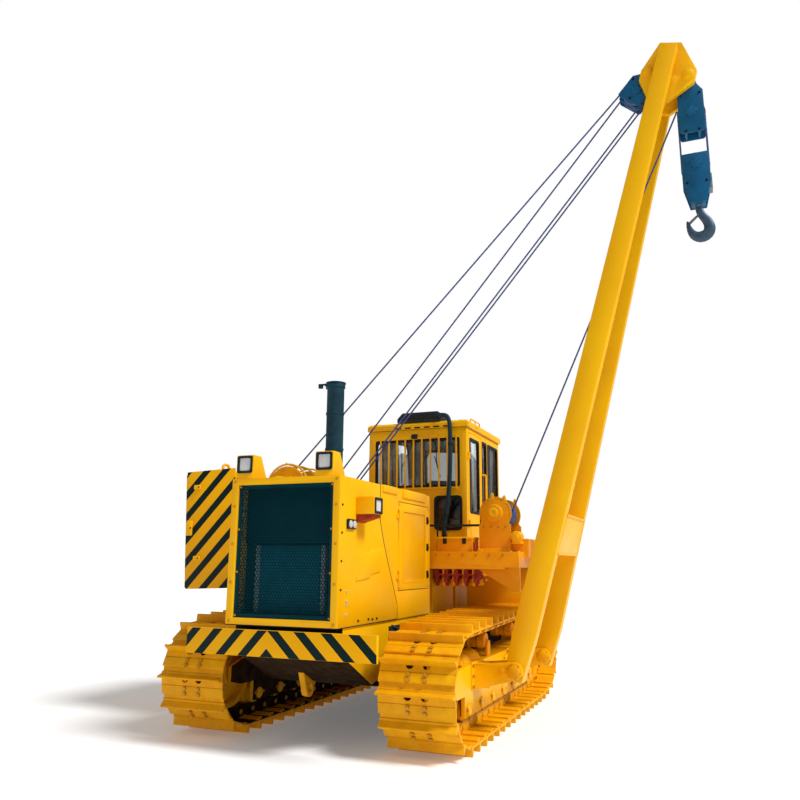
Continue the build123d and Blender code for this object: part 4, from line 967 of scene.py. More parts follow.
@dataclass(frozen=True)
class RunningGear:
    """Front wheels, rollers, guards and the bolts of the drives and track frames.

    Attributes:
        centre: Half the gauge.
        beam: Half the width of a track frame.
        idler: Place along X and height of the front wheels.
        rollers: Places of the track rollers along X.
        roller_z: Their height.
        carriers: Place along X and height of the carrier rollers.
        drive: Place along X and height of the final drives.
        hoses: Where the hoses beside the upper run start and end along X.
    """

    centre: float = 1175.0
    beam: float = 190.0
    idler: Pair = (1913.0, 570.0)
    rollers: tuple[float, ...] = tuple(1463.0 - 434.0 * index for index in range(7))
    roller_z: float = 315.3
    carriers: tuple[Pair, ...] = ((620.0, 874.0), (-560.0, 903.1))
    drive: Pair = (-1655.0, 631.6)
    hoses: tuple[Pair, ...] = ((1180, -180), (1020, -420), (880, -640))

    def build(self) -> None:
        """Turn the wheels, set the bolts and hang the guards."""
        pieces = {"idlers": Piece("idler_wheels"), "track_rollers": Piece("track_roller_wheels")}
        for side in SIDES:
            self.add_idler(pieces["idlers"], side)
            self.add_rollers(pieces["track_rollers"], side)
        for node, piece in pieces.items():
            piece.done("tractor", "track_paint", [node])
        self.add_bolts()
        self.add_frame_fittings()
        self.add_hull_sides()

    def add_idler(self, piece: Piece, side: int) -> None:
        """Add one dished front wheel with its guide rim, hub and shaft.

        Args:
            piece: The piece that takes it.
            side: The side of the machine.
        """
        x, z = self.idler
        half = [(0, 150), (60, 150), (68, 143), (70, 120), (112, 114), (134, 74), (276, 58), (296, 124),
                (342, 128), (342, 66), (366, 60), (372, 50)]
        piece.use(CAST_YELLOW).lathe(half + mirrored(half), (x, side * self.centre, z), (0, side, 0), 72)
        piece.use(BOLT).bolt_circle((x, side * (self.centre + 114), z), (0, side, 0), 92, 8, 20)

    def add_rollers(self, piece: Piece, side: int) -> None:
        """Add one side's track rollers and carrier rollers.

        Args:
            piece: The piece that takes them.
            side: The side of the machine.
        """
        rim = [(124, 0), (124, 56), (120, 61), (105, 66), (104, 127), (98, 133), (45, 133), (45, 146),
               (40, 150), (0, 150)]
        piece.use(CAST_YELLOW)
        for x in self.rollers:
            piece.lathe(mirrored(rim) + rim[1:], (x, side * self.centre, self.roller_z), (0, side, 0), 32)
        carrier = [(0, -138), (40, -138), (46, -134), (78, -134), (84, -127), (84, -50), (74, -38),
                   (74, 38), (84, 50), (84, 127), (78, 134), (40, 134), (40, 180), (0, 180)]
        for x, z in self.carriers:
            piece.lathe(carrier, (x, side * self.centre, z), (0, -side, 0), 32)

    def add_bolts(self) -> None:
        """Set the bolts of the final drives and of the roller skirts."""
        piece = Piece("drive_and_skirt_bolts").use(BOLT)
        x, z = self.drive
        places = [(roller + step, self.roller_z + 8) for roller in self.rollers for step in (-62, 62)]
        for side in SIDES:
            out = (0, side, 0)
            piece.bolt_circle((x, side * (self.centre + self.beam), z), out, 196, 16, 30)
            piece.bolt_circle((x, side * (self.centre + 240), z), out, 112, 10, 24)
            piece.bolts([(x, side * (self.centre + 240), z)], out, 44)
            for hand in SIDES:
                y = side * (self.centre + hand * self.beam)
                piece.bolts([(along_x, y, up) for along_x, up in places], (0, side * hand, 0), 28)
        piece.done("tractor", "yellow")

    def add_hull_sides(self) -> None:
        """Cover the hull's sides and the guards between the track runs with dark plates of painted shade, and
        post the carrier rollers.
        """
        piece = Piece("track_guards")
        for side in SIDES:
            # Painted shade: dark plates on the hull's side and between the track runs.
            piece.use(HULL_SHADE).block((-1500, side * 556, 700), (1560, side * 566, 1060), 4)
            piece.block((-1180, side * 992, 640), (1380, side * 1004, 985), 4)
            piece.use(HOSE)
            for row, (start, end) in enumerate(self.hoses):
                y, z = side * (1030 + 10 * row), 930 - 60 * row
                piece.sweep(smooth([(start + 60, y, 690), (start, y, z - 60), (start - 160, y, z),
                                    (end + 200, y, z - 12), (end, y, 690)]), [22], 10)
            # The carrier posts take the orange-tinted yellow of painted shade.
            piece.use(ORANGE_SHADE_YELLOW)
            outer = side * (self.centre + 150)
            for x, z in self.carriers:
                post = [(x - 70, 660), (x + 70, 660), (x + 52, z - 30), (x + 30, z + 6), (x - 30, z + 6),
                        (x - 52, z - 30)]
                piece.prism(post, "y", outer - 14, outer + 14, 4)
        piece.done("tractor", "yellow")

    def add_frame_fittings(self) -> None:
        """Add the recoil covers, the adjuster plates and the roller caps on the track frames."""
        piece = Piece("track_frame_fittings")
        for side in SIDES:
            y = side * self.centre
            piece.use(YELLOW).lathe([(0, 0), (70, 0), (105, 14), (118, 46), (118, 640), (105, 672),
                                     (70, 686), (0, 686)], (770, y, 690), AHEAD, 40)
            for x in (850, 1110, 1370):
                piece.lathe([(118, -16), (127, -14), (127, 14), (118, 16)], (x, y, 690), AHEAD, 40)
            outer = side * (self.centre + self.beam)
            plate = outer + side * 12
            piece.block((-420, outer, 500), (160, plate, 668), 5)
            piece.use(BOLT).bolts(product((-395, -130, 135), (plate,), (522, 646)), (0, side, 0), 22)
            piece.use(CAST_YELLOW)
            for x, hand in product(self.rollers, SIDES):
                piece.lathe([(58, 0), (58, 8), (46, 18), (0, 18)],
                            (x, y + side * hand * self.beam, self.roller_z), (0, side * hand, 0), 24)
        piece.done("tractor", "yellow")


# Takes a shape drawn on the XY plane to one that looks forward.
FORWARD = Matrix(((0, 0, 1, 0), (1, 0, 0, 0), (0, 1, 0, 0), (0, 0, 0, 1)))


@dataclass(frozen=True)
class Hood:
    """The engine cover's grille, radiator, seals, lamps, door fittings and fasteners.

    Attributes:
        half: Half its width.
        nose: Its front face.
        top: Its top face.
        grille_half: Half the grille's width.
        grille_z: The grille's lower and upper edges.
        hole_pitch: Spacing of the sheet's six-sided holes.
        lamp_y: Middles of the two lamps on top.
        seam: The joint between the front guard and the cover, along X and up.
        stack: The exhaust's middle, along X and across.
    """

    half: float = 578.0
    nose: float = 2750.0
    top: float = 2463.0
    grille_half: float = 505.0
    grille_z: Pair = (1185.0, 2400.0)
    hole_pitch: float = 30.0
    lamp_y: Pair = (-455.0, 400.0)
    seam: tuple[Pair, ...] = ((1850, 2463), (1850, 2110), (1740, 1870), (1380, 1260), (1380, 1122))
    stack: Pair = (1500.0, -137.0)

    def build(self) -> None:
        """Make all that the plain cover leaves out."""
        self.add_grille()
        self.add_radiator()
        self.add_seals()
        self.add_fasteners()
        self.add_lamps()
        self.add_door_fittings()
        self.add_stack()

    def add_grille(self) -> None:
        """Punch the sheet: six-sided holes with their edges, inside a flat frame."""
        around = self.hole_pitch / math.sqrt(3)
        part = bmesh.new()
        for radius in (around, around * 0.76):
            bmesh.ops.create_circle(part, segments=6, radius=radius)
        holes = [edge for edge in part.edges if edge.verts[0].co.length < around * 0.9]
        bmesh.ops.bridge_loops(part, edges=part.edges[:])
        bmesh.ops.recalc_face_normals(part, faces=part.faces[:])
        if part.faces[:][0].normal.z < 0:
            bmesh.ops.reverse_faces(part, faces=part.faces[:])
        grown = bmesh.ops.extrude_edge_only(part, edges=holes)["geom"]
        bmesh.ops.translate(part, verts=kind_of(grown, bmesh.types.BMVert), vec=(0, 0, -4))
        tile = Piece("tile").use(GRILLE_BLACK)
        tile.take(part)
        piece = Piece("grille_sheet").use(GRILLE_BLACK)
        wide, tall = (-self.grille_half, self.grille_half), self.grille_z
        rows = int((tall[1] - tall[0] - 40) / (1.5 * around))
        columns = int((2 * self.grille_half - 40) / self.hole_pitch)
        for row, column in product(range(rows), range(columns)):
            z = tall[0] + 24 + around + row * 1.5 * around
            y = (column - columns / 2 + 0.5 * (row % 2) + 0.25) * self.hole_pitch
            piece.stamp(tile, Matrix.Translation((self.nose - 28, y, z)) @ FORWARD)
        tile.drop()
        opening = rounded((wide[0] + 34, wide[1] - 34), (tall[0] + 40, tall[1] - 34), 14)
        piece.ring(rounded(wide, tall, 4), opening, "x", self.nose - 36, self.nose - 20)
        heights = (tall[0] + 20, tall[0] + 410, tall[0] + 800, tall[1] - 17)
        piece.use(BOLT).bolts(product((self.nose - 20,), (wide[0] + 17, wide[1] - 17), heights), AHEAD, 15)
        piece.done("tractor", "black_metal", ["grille"])

    def add_radiator(self) -> None:
        """Make the radiator: a finned core between side columns, under a deep top tank."""
        piece = Piece("radiator_core_and_tanks").use(GRILLE_BLACK)
        wide = self.half - 46
        for face, low, high, soft in ((2562, 1850, 2400, 30), (2562, 1122, 1240, 20), (2520, 1200, 1880, 0)):
            piece.block((2420, -wide, low), (face, wide, high), soft)
        piece.use(CORE).block((2430, -332, 1235), (2572, 300, 1832), 4)
        for low, high in ((-394, -340), (308, 356)):
            piece.use(COLUMN_GREY).block((2425, low, 1225), (2578, high, 1846), 10)
        piece.done("tractor", "black_metal", ["radiator"])

    def add_seals(self) -> None:
        """Lay dark rubber in the joints round the front guard."""
        piece = Piece("hood_seals").use(RUBBER)
        for side in SIDES:
            piece.sweep(round_path([(x, side * (self.half - 1), z) for x, z in self.seam], 40), [4.5], 8)
        piece.sweep([(self.seam[0][0], y, self.top - 1) for y in (-self.half, 0, self.half)], [4.5], 8)
        piece.block((1380, -self.half - 1, 1119), (self.nose + 1, self.half + 1, 1127), 1)
        piece.done("tractor", "black_plastic")

    def add_fasteners(self) -> None:
        """Add the bolts, clips, grab cover and marker lamp on the hood."""
        piece = Piece("hood_fittings")
        for side in SIDES:
            y, out = side * self.half, (0, side, 0)
            piece.use(PALE_BOLT).bolts([(2580, y, z) for z in (1434, 1349, 1318, 1233)], out, 22, 9)
            lower = ((2100, 1165), (2010, 1159), (1905, 1160), (2330, 1165))
            piece.use(DARK_BOLT).bolts([(x, y, z) for x, z in lower], out, 18, 8)
            piece.bolts([(2700, y, z) for z in (1450, 1700, 1950, 2200)], out, 16, 7)
        heights = (1156, 1500, 1850, 2200, 2432)
        piece.use(BOLT).bolts(product((self.nose,), (-541, 541), heights), AHEAD, 20, 8)
        piece.use(YELLOW)
        for side in SIDES:
            inner, outer = side * (self.half - 40), side * (self.half + 16)
            piece.block((560, inner, self.top - 92), (1255, outer, self.top + 8), 10)
            piece.block((1420, inner, self.top - 70), (1800, outer, self.top + 5), 8)
            piece.prism([(2066, 1824), (1800, 1790), (2095, 1542), (2405, 1522)], "y", side * (self.half - 4),
                        side * (self.half + 14), 9)
        piece.use(BLACK).block((2448, self.half, 1986), (2612, self.half + 24, 2078), 8)
        for x in (2490, 2570):
            piece.use(LENS).lathe([(34, 0), (34, 6), (26, 13), (0, 16)], (x, self.half + 24, 2032),
                                  (0, 1, 0), 24)
        # Painted shade: the bracket under the side lamp is dark red instead of yellow.
        hood = [(self.half, 2052), (self.half + 178, 2104), (self.half + 178, 2130), (self.half, 2130)]
        piece.use(RED_PRIMER_AND_SHADE).prism(hood, "x", 2236, 2404, 4)
        piece.done("tractor", "yellow")

    def add_lamps(self) -> None:
        """Make the lamps: ribbed lens, bright reflector and black bezel in each housing."""
        glass = Piece("lamp_lens_glasses")
        rims = Piece("lamp_bezels").use(BLACK)
        ribs = [14 * step for step in range(-4, 5)]
        for y in self.lamp_y:
            glass.use(CHROME).ring(rounded((y - 66, y + 66), (2534, 2666), 16),
                                   rounded((y - 30, y + 30), (2570, 2630), 16), "x", 2716, 2719)
            glass.use(LENS).prism(rounded((y - 68, y + 68), (2532, 2668), 16), "x", 2724, 2733, 2)
            for rib in ribs:
                glass.rod((2733, y + rib, 2540), (2733, y + rib, 2660), 3.2, 8)
            rims.ring(rounded((y - 84, y + 84), (2516, 2682), 20),
                      rounded((y - 62, y + 62), (2538, 2662), 18), "x", 2732, 2744)
            rims.bolts(product((2744,), (y - 73, y + 73), (2527, 2671)), AHEAD, 8, 4)
        end = self.half + 192
        glass.use(CHROME).ring(rounded((2264, 2396), (2154, 2266), 14),
                               rounded((2300, 2360), (2185, 2235), 14), "y", end - 19, end - 16)
        glass.use(LENS).prism(rounded((2262, 2398), (2152, 2268), 14), "y", end - 10, end - 2, 2)
        for rib in ribs:
            glass.rod((2330 + rib, end - 2, 2160), (2330 + rib, end - 2, 2260), 3.2, 8)
        rims.ring(rounded((2244, 2416), (2134, 2286), 16), rounded((2268, 2392), (2158, 2262), 14), "y",
                  end - 3, end + 8)
        rims.use(YELLOW).block((2290, self.half, 2288), (2370, end - 40, 2300), 4)
        glass.done("tractor", "lamp_glass", ["lamp_lenses"])
        rims.done("tractor", "black_metal")

    def add_door_fittings(self) -> None:
        """Add the punched panel, latches, pull and hinge pins of the engine door."""
        piece = Piece("engine_door_fittings").use(PUNCHED)
        y = self.half
        piece.prism(rounded((556, 1234), (1496, 2234), 26), "y", y - 9, y - 5, 1.5)
        piece.use(YELLOW).ring(rounded((540, 1250), (1480, 2250), 34),
                               rounded((562, 1228), (1502, 2228), 24), "y", y - 9, y + 4)
        piece.use(BLACK)
        for z in (1560, 1865, 2170):
            piece.prism(rounded((452, 508), (z - 42, z + 42), 14), "y", y, y + 8, 2)
            piece.block((472, y + 8, z - 30), (490, y + 20, z + 12), 4)
        piece.use(BOLT).bolts(product((446, 1344), (y,), (1430, 2300)), (0, 1, 0), 14, 6)
        piece.done("engine_door", "yellow")

    def add_stack(self) -> None:
        """Dress the exhaust with bands, their bolts and a base flange."""
        piece = Piece("exhaust_fittings").use(STACK_BLUE)
        bands = (2900, 3300)
        for z in bands:
            piece.lathe([(96, -14), (102, -12), (102, 12), (96, 14)], (*self.stack, z), UP)
        piece.lathe([(96, 0), (128, 0), (134, 5), (134, 17), (120, 22), (104, 30), (96, 46)],
                    (*self.stack, 2500), UP)
        piece.use(DARK_BOLT).bolt_circle((*self.stack, 2520), UP, 119, 8, 16)
        piece.bolts([(self.stack[0], self.stack[1] - 102, z) for z in bands], (0, -1, 0), 16)
        piece.done("tractor", "black_metal")


class Wall(Enum):
    """Which wall of the cab a window is in."""

    FRONT = "front"
    BACK = "back"
    LEFT = "left"
    RIGHT = "right"


@dataclass(frozen=True)
class Pane:
    """One window.

    Attributes:
        wall: Its wall.
        across: Its limits along the wall.
        up: Its lower and upper edges.
        corner: Radius of its corners.
        body: The body that carries it.
    """

    wall: Wall
    across: Pair
    up: Pair
    corner: float
    body: str = "tractor"


@dataclass(frozen=True)
class Cab:
    """The cab's seals, wipers, rails, roof unit, door fittings and inside.

    Attributes:
        rear: Its rear wall.
        front: Its front wall.
        half: Half its width.
        roof: Its top.
        panes: Its windows.
    """

    rear: float = -2339.0
    front: float = -684.0
    half: float = 708.0
    roof: float = 3578.0
    panes: tuple[Pane, ...] = (
        Pane(Wall.FRONT, (-600, 600), (2690, 3330), 40), Pane(Wall.FRONT, (265, 630), (2120, 2550), 88),
        Pane(Wall.FRONT, (-630, -265), (2120, 2550), 88), Pane(Wall.BACK, (-520, 520), (2450, 3330), 60),
        *(Pane(wall, across, (2450, 3370), corner) for wall in (Wall.LEFT, Wall.RIGHT)
          for across, corner in (((-1640, -1430), 46), ((-2250, -1710), 60))),
        Pane(Wall.LEFT, (-1260, -830), (2350, 3340), 64, "cab_door_left"),
        Pane(Wall.RIGHT, (-1260, -830), (2350, 3340), 64, "cab_door_right"),
    )

    def build(self) -> None:
        """Fit out the cab."""
        self.add_seals()
        self.add_wipers()
        self.add_roof()
        self.add_pipe()
        self.add_rails()
        for side, name in zip(SIDES, ("left", "right")):
            self.add_door_fittings(side, f"cab_door_{name}")
        self.add_seat()
        self.add_console()

    def add_seals(self) -> None:
        """Frame each window with a black rubber seal that has round corners."""
        pieces: dict[str, Piece] = {}
        for pane in self.panes:
            if pane.body not in pieces:
                pieces[pane.body] = Piece(f"{pane.body}_window_seals").use(RUBBER)
            limits = {
                Wall.FRONT: ("x", self.front - 24, self.front + (1 if pane.corner < 50 else 6)),
                Wall.BACK: ("x", self.rear - 6, self.rear + 24),
                Wall.LEFT: ("y", self.half - 24, self.half + 6),
                Wall.RIGHT: ("y", -self.half - 6, -self.half + 24),
            }
            (left, right), (low, high) = pane.across, pane.up
            pieces[pane.body].ring(rounded((left - 14, right + 14), (low - 14, high + 14), pane.corner * 0.7),
                                   rounded((left + 20, right - 20), (low + 20, high - 20), pane.corner),
                                   *limits[pane.wall])
        for body, piece in pieces.items():
            piece.done(body, "black_plastic")

    def add_wipers(self) -> None:
        """Add the two wipers of the front window and the one behind."""
        piece = Piece("wipers")
        reach = self.front - 14
        for pivot, top, low, box in ((-28.0, (-226, 3154), (-223, 2747), BLACK),
                                     (250.0, (252, 3097), (334, 2816), YELLOW)):
            piece.use(box).block((self.front, pivot - 42, 3345), (self.front + 34, pivot + 42, 3408), 8)
            middle = ((top[0] + low[0]) / 2, (top[1] + low[1]) / 2)
            piece.use(BLACK).sweep([(reach, pivot, 3372), (reach, (pivot + middle[0]) / 2, 3180),
                                    (reach, *middle)], [7, 6, 5], 8)
            piece.sweep([(reach - 4, *top), (reach - 6, *middle), (reach - 4, *low)], [6, 9, 6], 8)
            piece.rod((self.front - 30, pivot, 3372), (self.front + 4, pivot, 3372), 12, 16, 2)
        piece.block((self.rear - 34, -40, 3345), (self.rear, 40, 3405), 8)
        arm, blade = ((0, 3372), (70, 3150), (120, 2900)), ((100, 3080), (120, 2900), (140, 2700))
        piece.sweep([(self.rear + 12, y, z) for y, z in arm], [7, 6, 5], 8)
        piece.sweep([(self.rear + 15, y, z) for y, z in blade], [6, 9, 6], 8)
        piece.done("tractor", "black_plastic")

    def add_roof(self) -> None:
        """Add the roof's vents, rail, seams and the ribbed roof unit."""
        # Vent openings drawn as dark patches of painted shade.
        piece = Piece("roof_fittings").use(VENT_SHADE)
        for y in range(-267, 429, 139):
            piece.prism(rounded((y - 44, y + 44), (3489, 3511), 9), "x", self.front + 12, self.front + 16, 1)
        piece.use(YELLOW)
        low, high = self.roof - 30, self.roof + 34
        for side in SIDES:
            y = side * 716
            rail = [(-858, y, low), (-858, y, high), (-1295, y, high), (-1295, y, low)]
            piece.sweep(round_path(rail, 30), [11], 12)
            piece.rod((-1076, y, low), (-1076, y, high), 9, 12)
            piece.block((-1130, side * 738 - 12, 3520), (-1020, side * 738 + 12, 3548), 5)
        for y, x in product((-600, 600), (-2250, -800)):
            piece.rod((x, y, self.roof - 2), (x, y, self.roof + 18), 26, 20, 4)
        piece.use(RUBBER)
        piece.block((self.rear - 2, -self.half - 2, 3474), (self.front + 2, self.half + 2, 3482), 1)
        piece.done("tractor", "yellow")
        unit = Piece("roof_unit_cover").use(PLASTIC)
        outline = ((-290, 0), (-290, 58), (-214, 138), (302, 138), (350, 88), (350, 0))
        unit.prism([(y, self.roof + up) for y, up in outline], "x", -1100, -674, 9)
        # Vent openings drawn as dark patches of painted shade.
        unit.use(VENT_SHADE)
        for y in range(-170, 239, 68):
            unit.prism(rounded((y - 24, y + 24), (self.roof + 34, self.roof + 112), 10), "x", -676, -671, 1)
        unit.use(PLASTIC)
        for x in (-1020, -940, -860, -780):
            unit.block((x - 10, -200, self.roof + 134), (x + 10, 290, self.roof + 144), 3)
        unit.done("tractor", "black_plastic", ["roof_unit"])

    def add_pipe(self) -> None:
        """Run the thick hose from the roof unit down the front of the cab, held by clips."""
        piece = Piece("roof_unit_pipe").use(HOSE)
        route = [(-700, 310, 3640), (-622, 330, 3644), (-614, 420, 3646), (-610, 482, 3610),
                 (-610, 503, 3500), (-610, 506, 3300), (-610, 505, 3100), (-612, 498, 2850),
                 (-612, 486, 2640), (-612, 462, 2440), (-614, 430, 2260), (-616, 408, 2120),
                 (-640, 404, 2050), (-690, 404, 2040)]
        piece.sweep(smooth(route), [29], 16)
        piece.use(BLACK)
        for y, z in ((506, 3240), (440, 2300)):
            piece.lathe([(29, -14), (35, -13), (35, 13), (29, 14)], (-611, y, z), UP, 24)
            piece.block((self.front, y - 14, z - 12), (-636, y + 14, z + 12), 3)
        piece.use(STEEL).lathe([(29, -20), (36, -18), (36, 18), (29, 20)], (-655, 404, 2045), BEHIND, 24)
        piece.done("tractor", "black_plastic")

    def add_rails(self) -> None:
        """Add the grab rails on the cab's walls and the dark rail in front of it."""
        piece = Piece("grab_rails").use(YELLOW)
        for side, (x, low, high) in product(SIDES, ((-1396, 2240, 2900), (-2300, 2000, 2380))):
            y, out = side * self.half, side * (self.half + 62)
            piece.sweep(round_path([(x, y, low), (x, out, low), (x, out, high), (x, y, high)], 30), [13], 12)
        piece.done("tractor", "yellow")
        dark = Piece("front_rail").use(BLACK)
        rail = [(60, -520, 1820), (60, -520, 2140), (60, 1030, 2132), (92, 1104, 2130)]
        dark.sweep(round_path(rail, 60), [14], 12)
        for y in (-180, 420, 560):
            dark.rod((60, y, 1820), (60, y, 2134), 11, 12)
        dark.done("tractor", "black_metal")

    def add_door_fittings(self, side: int, body: str) -> None:
        """Add a door's handle, lock plate, hinge bolts and kick panel.

        Args:
            side: The side of the machine.
            body: The door's body.
        """
        piece = Piece(f"{body}_fittings").use(BLACK)
        y = side * self.half
        face, hold = y + side * 8, y + side * 46
        piece.prism(rounded((-1345, -1275), (2170, 2330), 18), "y", y, face, 2)
        grip = [(-1330, y, 2200), (-1330, hold, 2205), (-1322, hold, 2300), (-1322, y, 2306)]
        piece.sweep(round_path(grip, 16), [9], 10)
        piece.use(YELLOW).prism(rounded((-1250, -840), (1960, 2270), 40), "y", y, face, 3)
        piece.use(BOLT).bolts(product((-800, -780), (y,), (2210, 2228, 3110, 3128)), (0, side, 0), 9, 4)
        piece.done(body, "yellow")

    def add_seat(self) -> None:
        """Make the operator's seat: crowned cushions with piping on a sprung base."""
        base = Piece("seat_base").use(PLASTIC)
        base.block((-1750, -200, 1870), (-1350, 200, 1930), 12)
        for z in range(1935, 2128, 48):
            base.ring(rounded((-1730, -1370), (-180, 180), 50), rounded((-1700, -1400), (-150, 150), 40),
                      "z", z, z + 30)
        base.block((-1765, -235, 2180), (-1300, 235, 2212), 10)
        for side in SIDES:
            base.block((-1780, side * 268, 2432), (-1390, side * 328, 2486), 20)
            base.rod((-1740, side * 298, 2212), (-1740, side * 298, 2440), 20, 16, 3)
        base.done("tractor", "black_plastic")
        cushions = Piece("seat_cushions").use(CLOTH)
        self.add_cushion(cushions, (500, 500, 118), Matrix.Translation((-1530, 0, 2271)))
        lean = Matrix.Translation((-1752, 0, 2640)) @ Matrix.Rotation(math.radians(-82), 4, "Y")
        self.add_cushion(cushions, (680, 460, 104), lean)
        cushions.done("tractor", "seat", ["operator_seat"])

    @staticmethod
    def add_cushion(piece: Piece, size: Triple, matrix: Matrix) -> None:
        """Add a cushion that is crowned on top, with sides that pull in and sewn channels across it.

        Args:
            piece: The piece that takes it.
            size: Its length, width and height.
            matrix: Where to place it.
        """
        part = bmesh.new()
        bmesh.ops.create_cube(part, size=1.0, matrix=Matrix.Diagonal((*size, 1.0)))
        soften(part, part.edges[:], 34, 4)
        bmesh.ops.subdivide_edges(part, edges=part.edges[:], cuts=3, use_grid_fill=True)
        bmesh.ops.recalc_face_normals(part, faces=part.faces[:])
        for vert in part.verts:
            u, v, w = (vert.co[axis] / size[axis] * 2 for axis in range(3))
            crown = max(0.0, 1 - u * u) * max(0.0, 1 - v * v)
            channel = math.exp(-((u - 0.25) / 0.05) ** 2) + math.exp(-((u + 0.35) / 0.05) ** 2)
            if w > 0.2:
                vert.co.z += 16 * crown - 9 * channel * max(0.0, 1 - v * v * v * v)
            vert.co.x -= 9 * u * (1 - v * v) * (1 - abs(w))
            vert.co.y -= 9 * v * (1 - u * u) * (1 - abs(w))
        piece.take(part, matrix)

    def add_console(self) -> None:
        """Make the control stand: a padded top, gauges, levers with gaiters and knobs."""
        piece = Piece("control_stand").use(PLASTIC)
        stand = [(-900, 1870), (-900, 2400), (-860, 2490), (-744, 2490), (-744, 1870)]
        piece.prism(stand, "y", -398, 398, 14)
        piece.use(STEEL).rod((-830, -110, 2200), (-800, -128, 2720), 10, 12, 2)
        piece.use(RED_KNOB).lathe([(0, -34), (18, -30), (30, -16), (34, 0), (30, 16), (18, 30), (0, 34)],
                                  (-798, -129, 2735), (1, -0.6, 17), 20)
        for y, knob in ((-250, RED_KNOB), (-100, BLACK), (100, BLACK), (250, BLACK)):
            piece.use(RUBBER).lathe([(44, 0), (40, 18), (34, 22), (32, 40), (26, 44), (24, 60), (16, 64)],
                                    (-850, y, 2478), UP, 20)
            piece.use(STEEL).rod((-850, y, 2490), (-850, y, 2745), 9, 12)
            piece.use(knob).lathe([(0, -28), (14, -25), (24, -14), (28, 0), (24, 14), (14, 25), (0, 28)],
                                  (-850, y, 2742), UP, 20)
        piece.use(BLACK)
        for y in (-320, 0, 320):
            piece.lathe([(52, 0), (52, 10), (44, 14), (44, 8), (0, 8)], (-868, y, 2462), (-1, 0, 2), 28)
        piece.done("tractor", "black_plastic", ["operator_console"])


# The wire rope's radius, and the way from a sheave's axle to the middle of the rope on it.
WIRE, REACH = 11.0, 141.3
# The boom's middle along X.
BOOM_X = 525.0


@dataclass(frozen=True)
class Drum:
    """A winch drum: flanges, wound rope and shaft ends, drawn along X.

    Attributes:
        node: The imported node, which is also the body.
        x: Its limits along X.
        at: Its middle, across and up.
        wound: Radius over the wound rope.
        flange: Radius of the flanges.
        shaft: The shaft's limits along X.
        rim: Width of a flange.
        core: Radius of the shaft.
        groove: Along a turn of rope, as a share of its pitch, and how far it lies below the top there.
    """

    node: str
    x: Pair
    at: Pair
    wound: float
    flange: float
    shaft: Pair
    rim: float = 22.0
    core: float = 45.0
    groove: tuple[Pair, ...] = ((0.0, 8.5), (0.18, 2.8), (0.5, 0.0), (0.82, 2.8))

    def build(self) -> None:
        """Turn the drum and its layer of rope."""
        piece = Piece(f"{self.node}_with_rope").use(CAST_YELLOW)
        start = (self.x[0], *self.at)
        length = self.x[1] - self.x[0]
        edge, rim = self.flange, self.rim
        for near in (0.0, length - rim):
            far = near + rim
            flange = [(self.core, near), (edge - 30, near), (edge - 24, near + 4), (edge - 4, near + 4),
                      (edge, near + 8), (edge, far - 4), (edge - 4, far), (self.core, far)]
            piece.lathe(flange, start, AHEAD, 64)
        for way, face in zip((BEHIND, AHEAD), self.x):
            piece.use(BOLT).bolt_circle((face, *self.at), way, self.wound - 62, 10, 9)
        near, far = (end - self.x[0] for end in self.shaft)
        piece.use(STEEL).lathe([(0, near), (self.core, near), (self.core, far), (0, far)], start, AHEAD, 32)
        turns = int((length - 2 * rim) / (2 * WIRE))
        pitch = (length - 2 * rim) / turns
        profile = [(self.wound - drop, rim + (turn + share) * pitch)
                   for turn, (share, drop) in product(range(turns), self.groove)]
        profile.append((self.wound - self.groove[0][1], length - rim))
        piece.use(ROPE).lathe(profile, start, AHEAD, 56)
        piece.done(self.node, "drum_steel", [self.node])


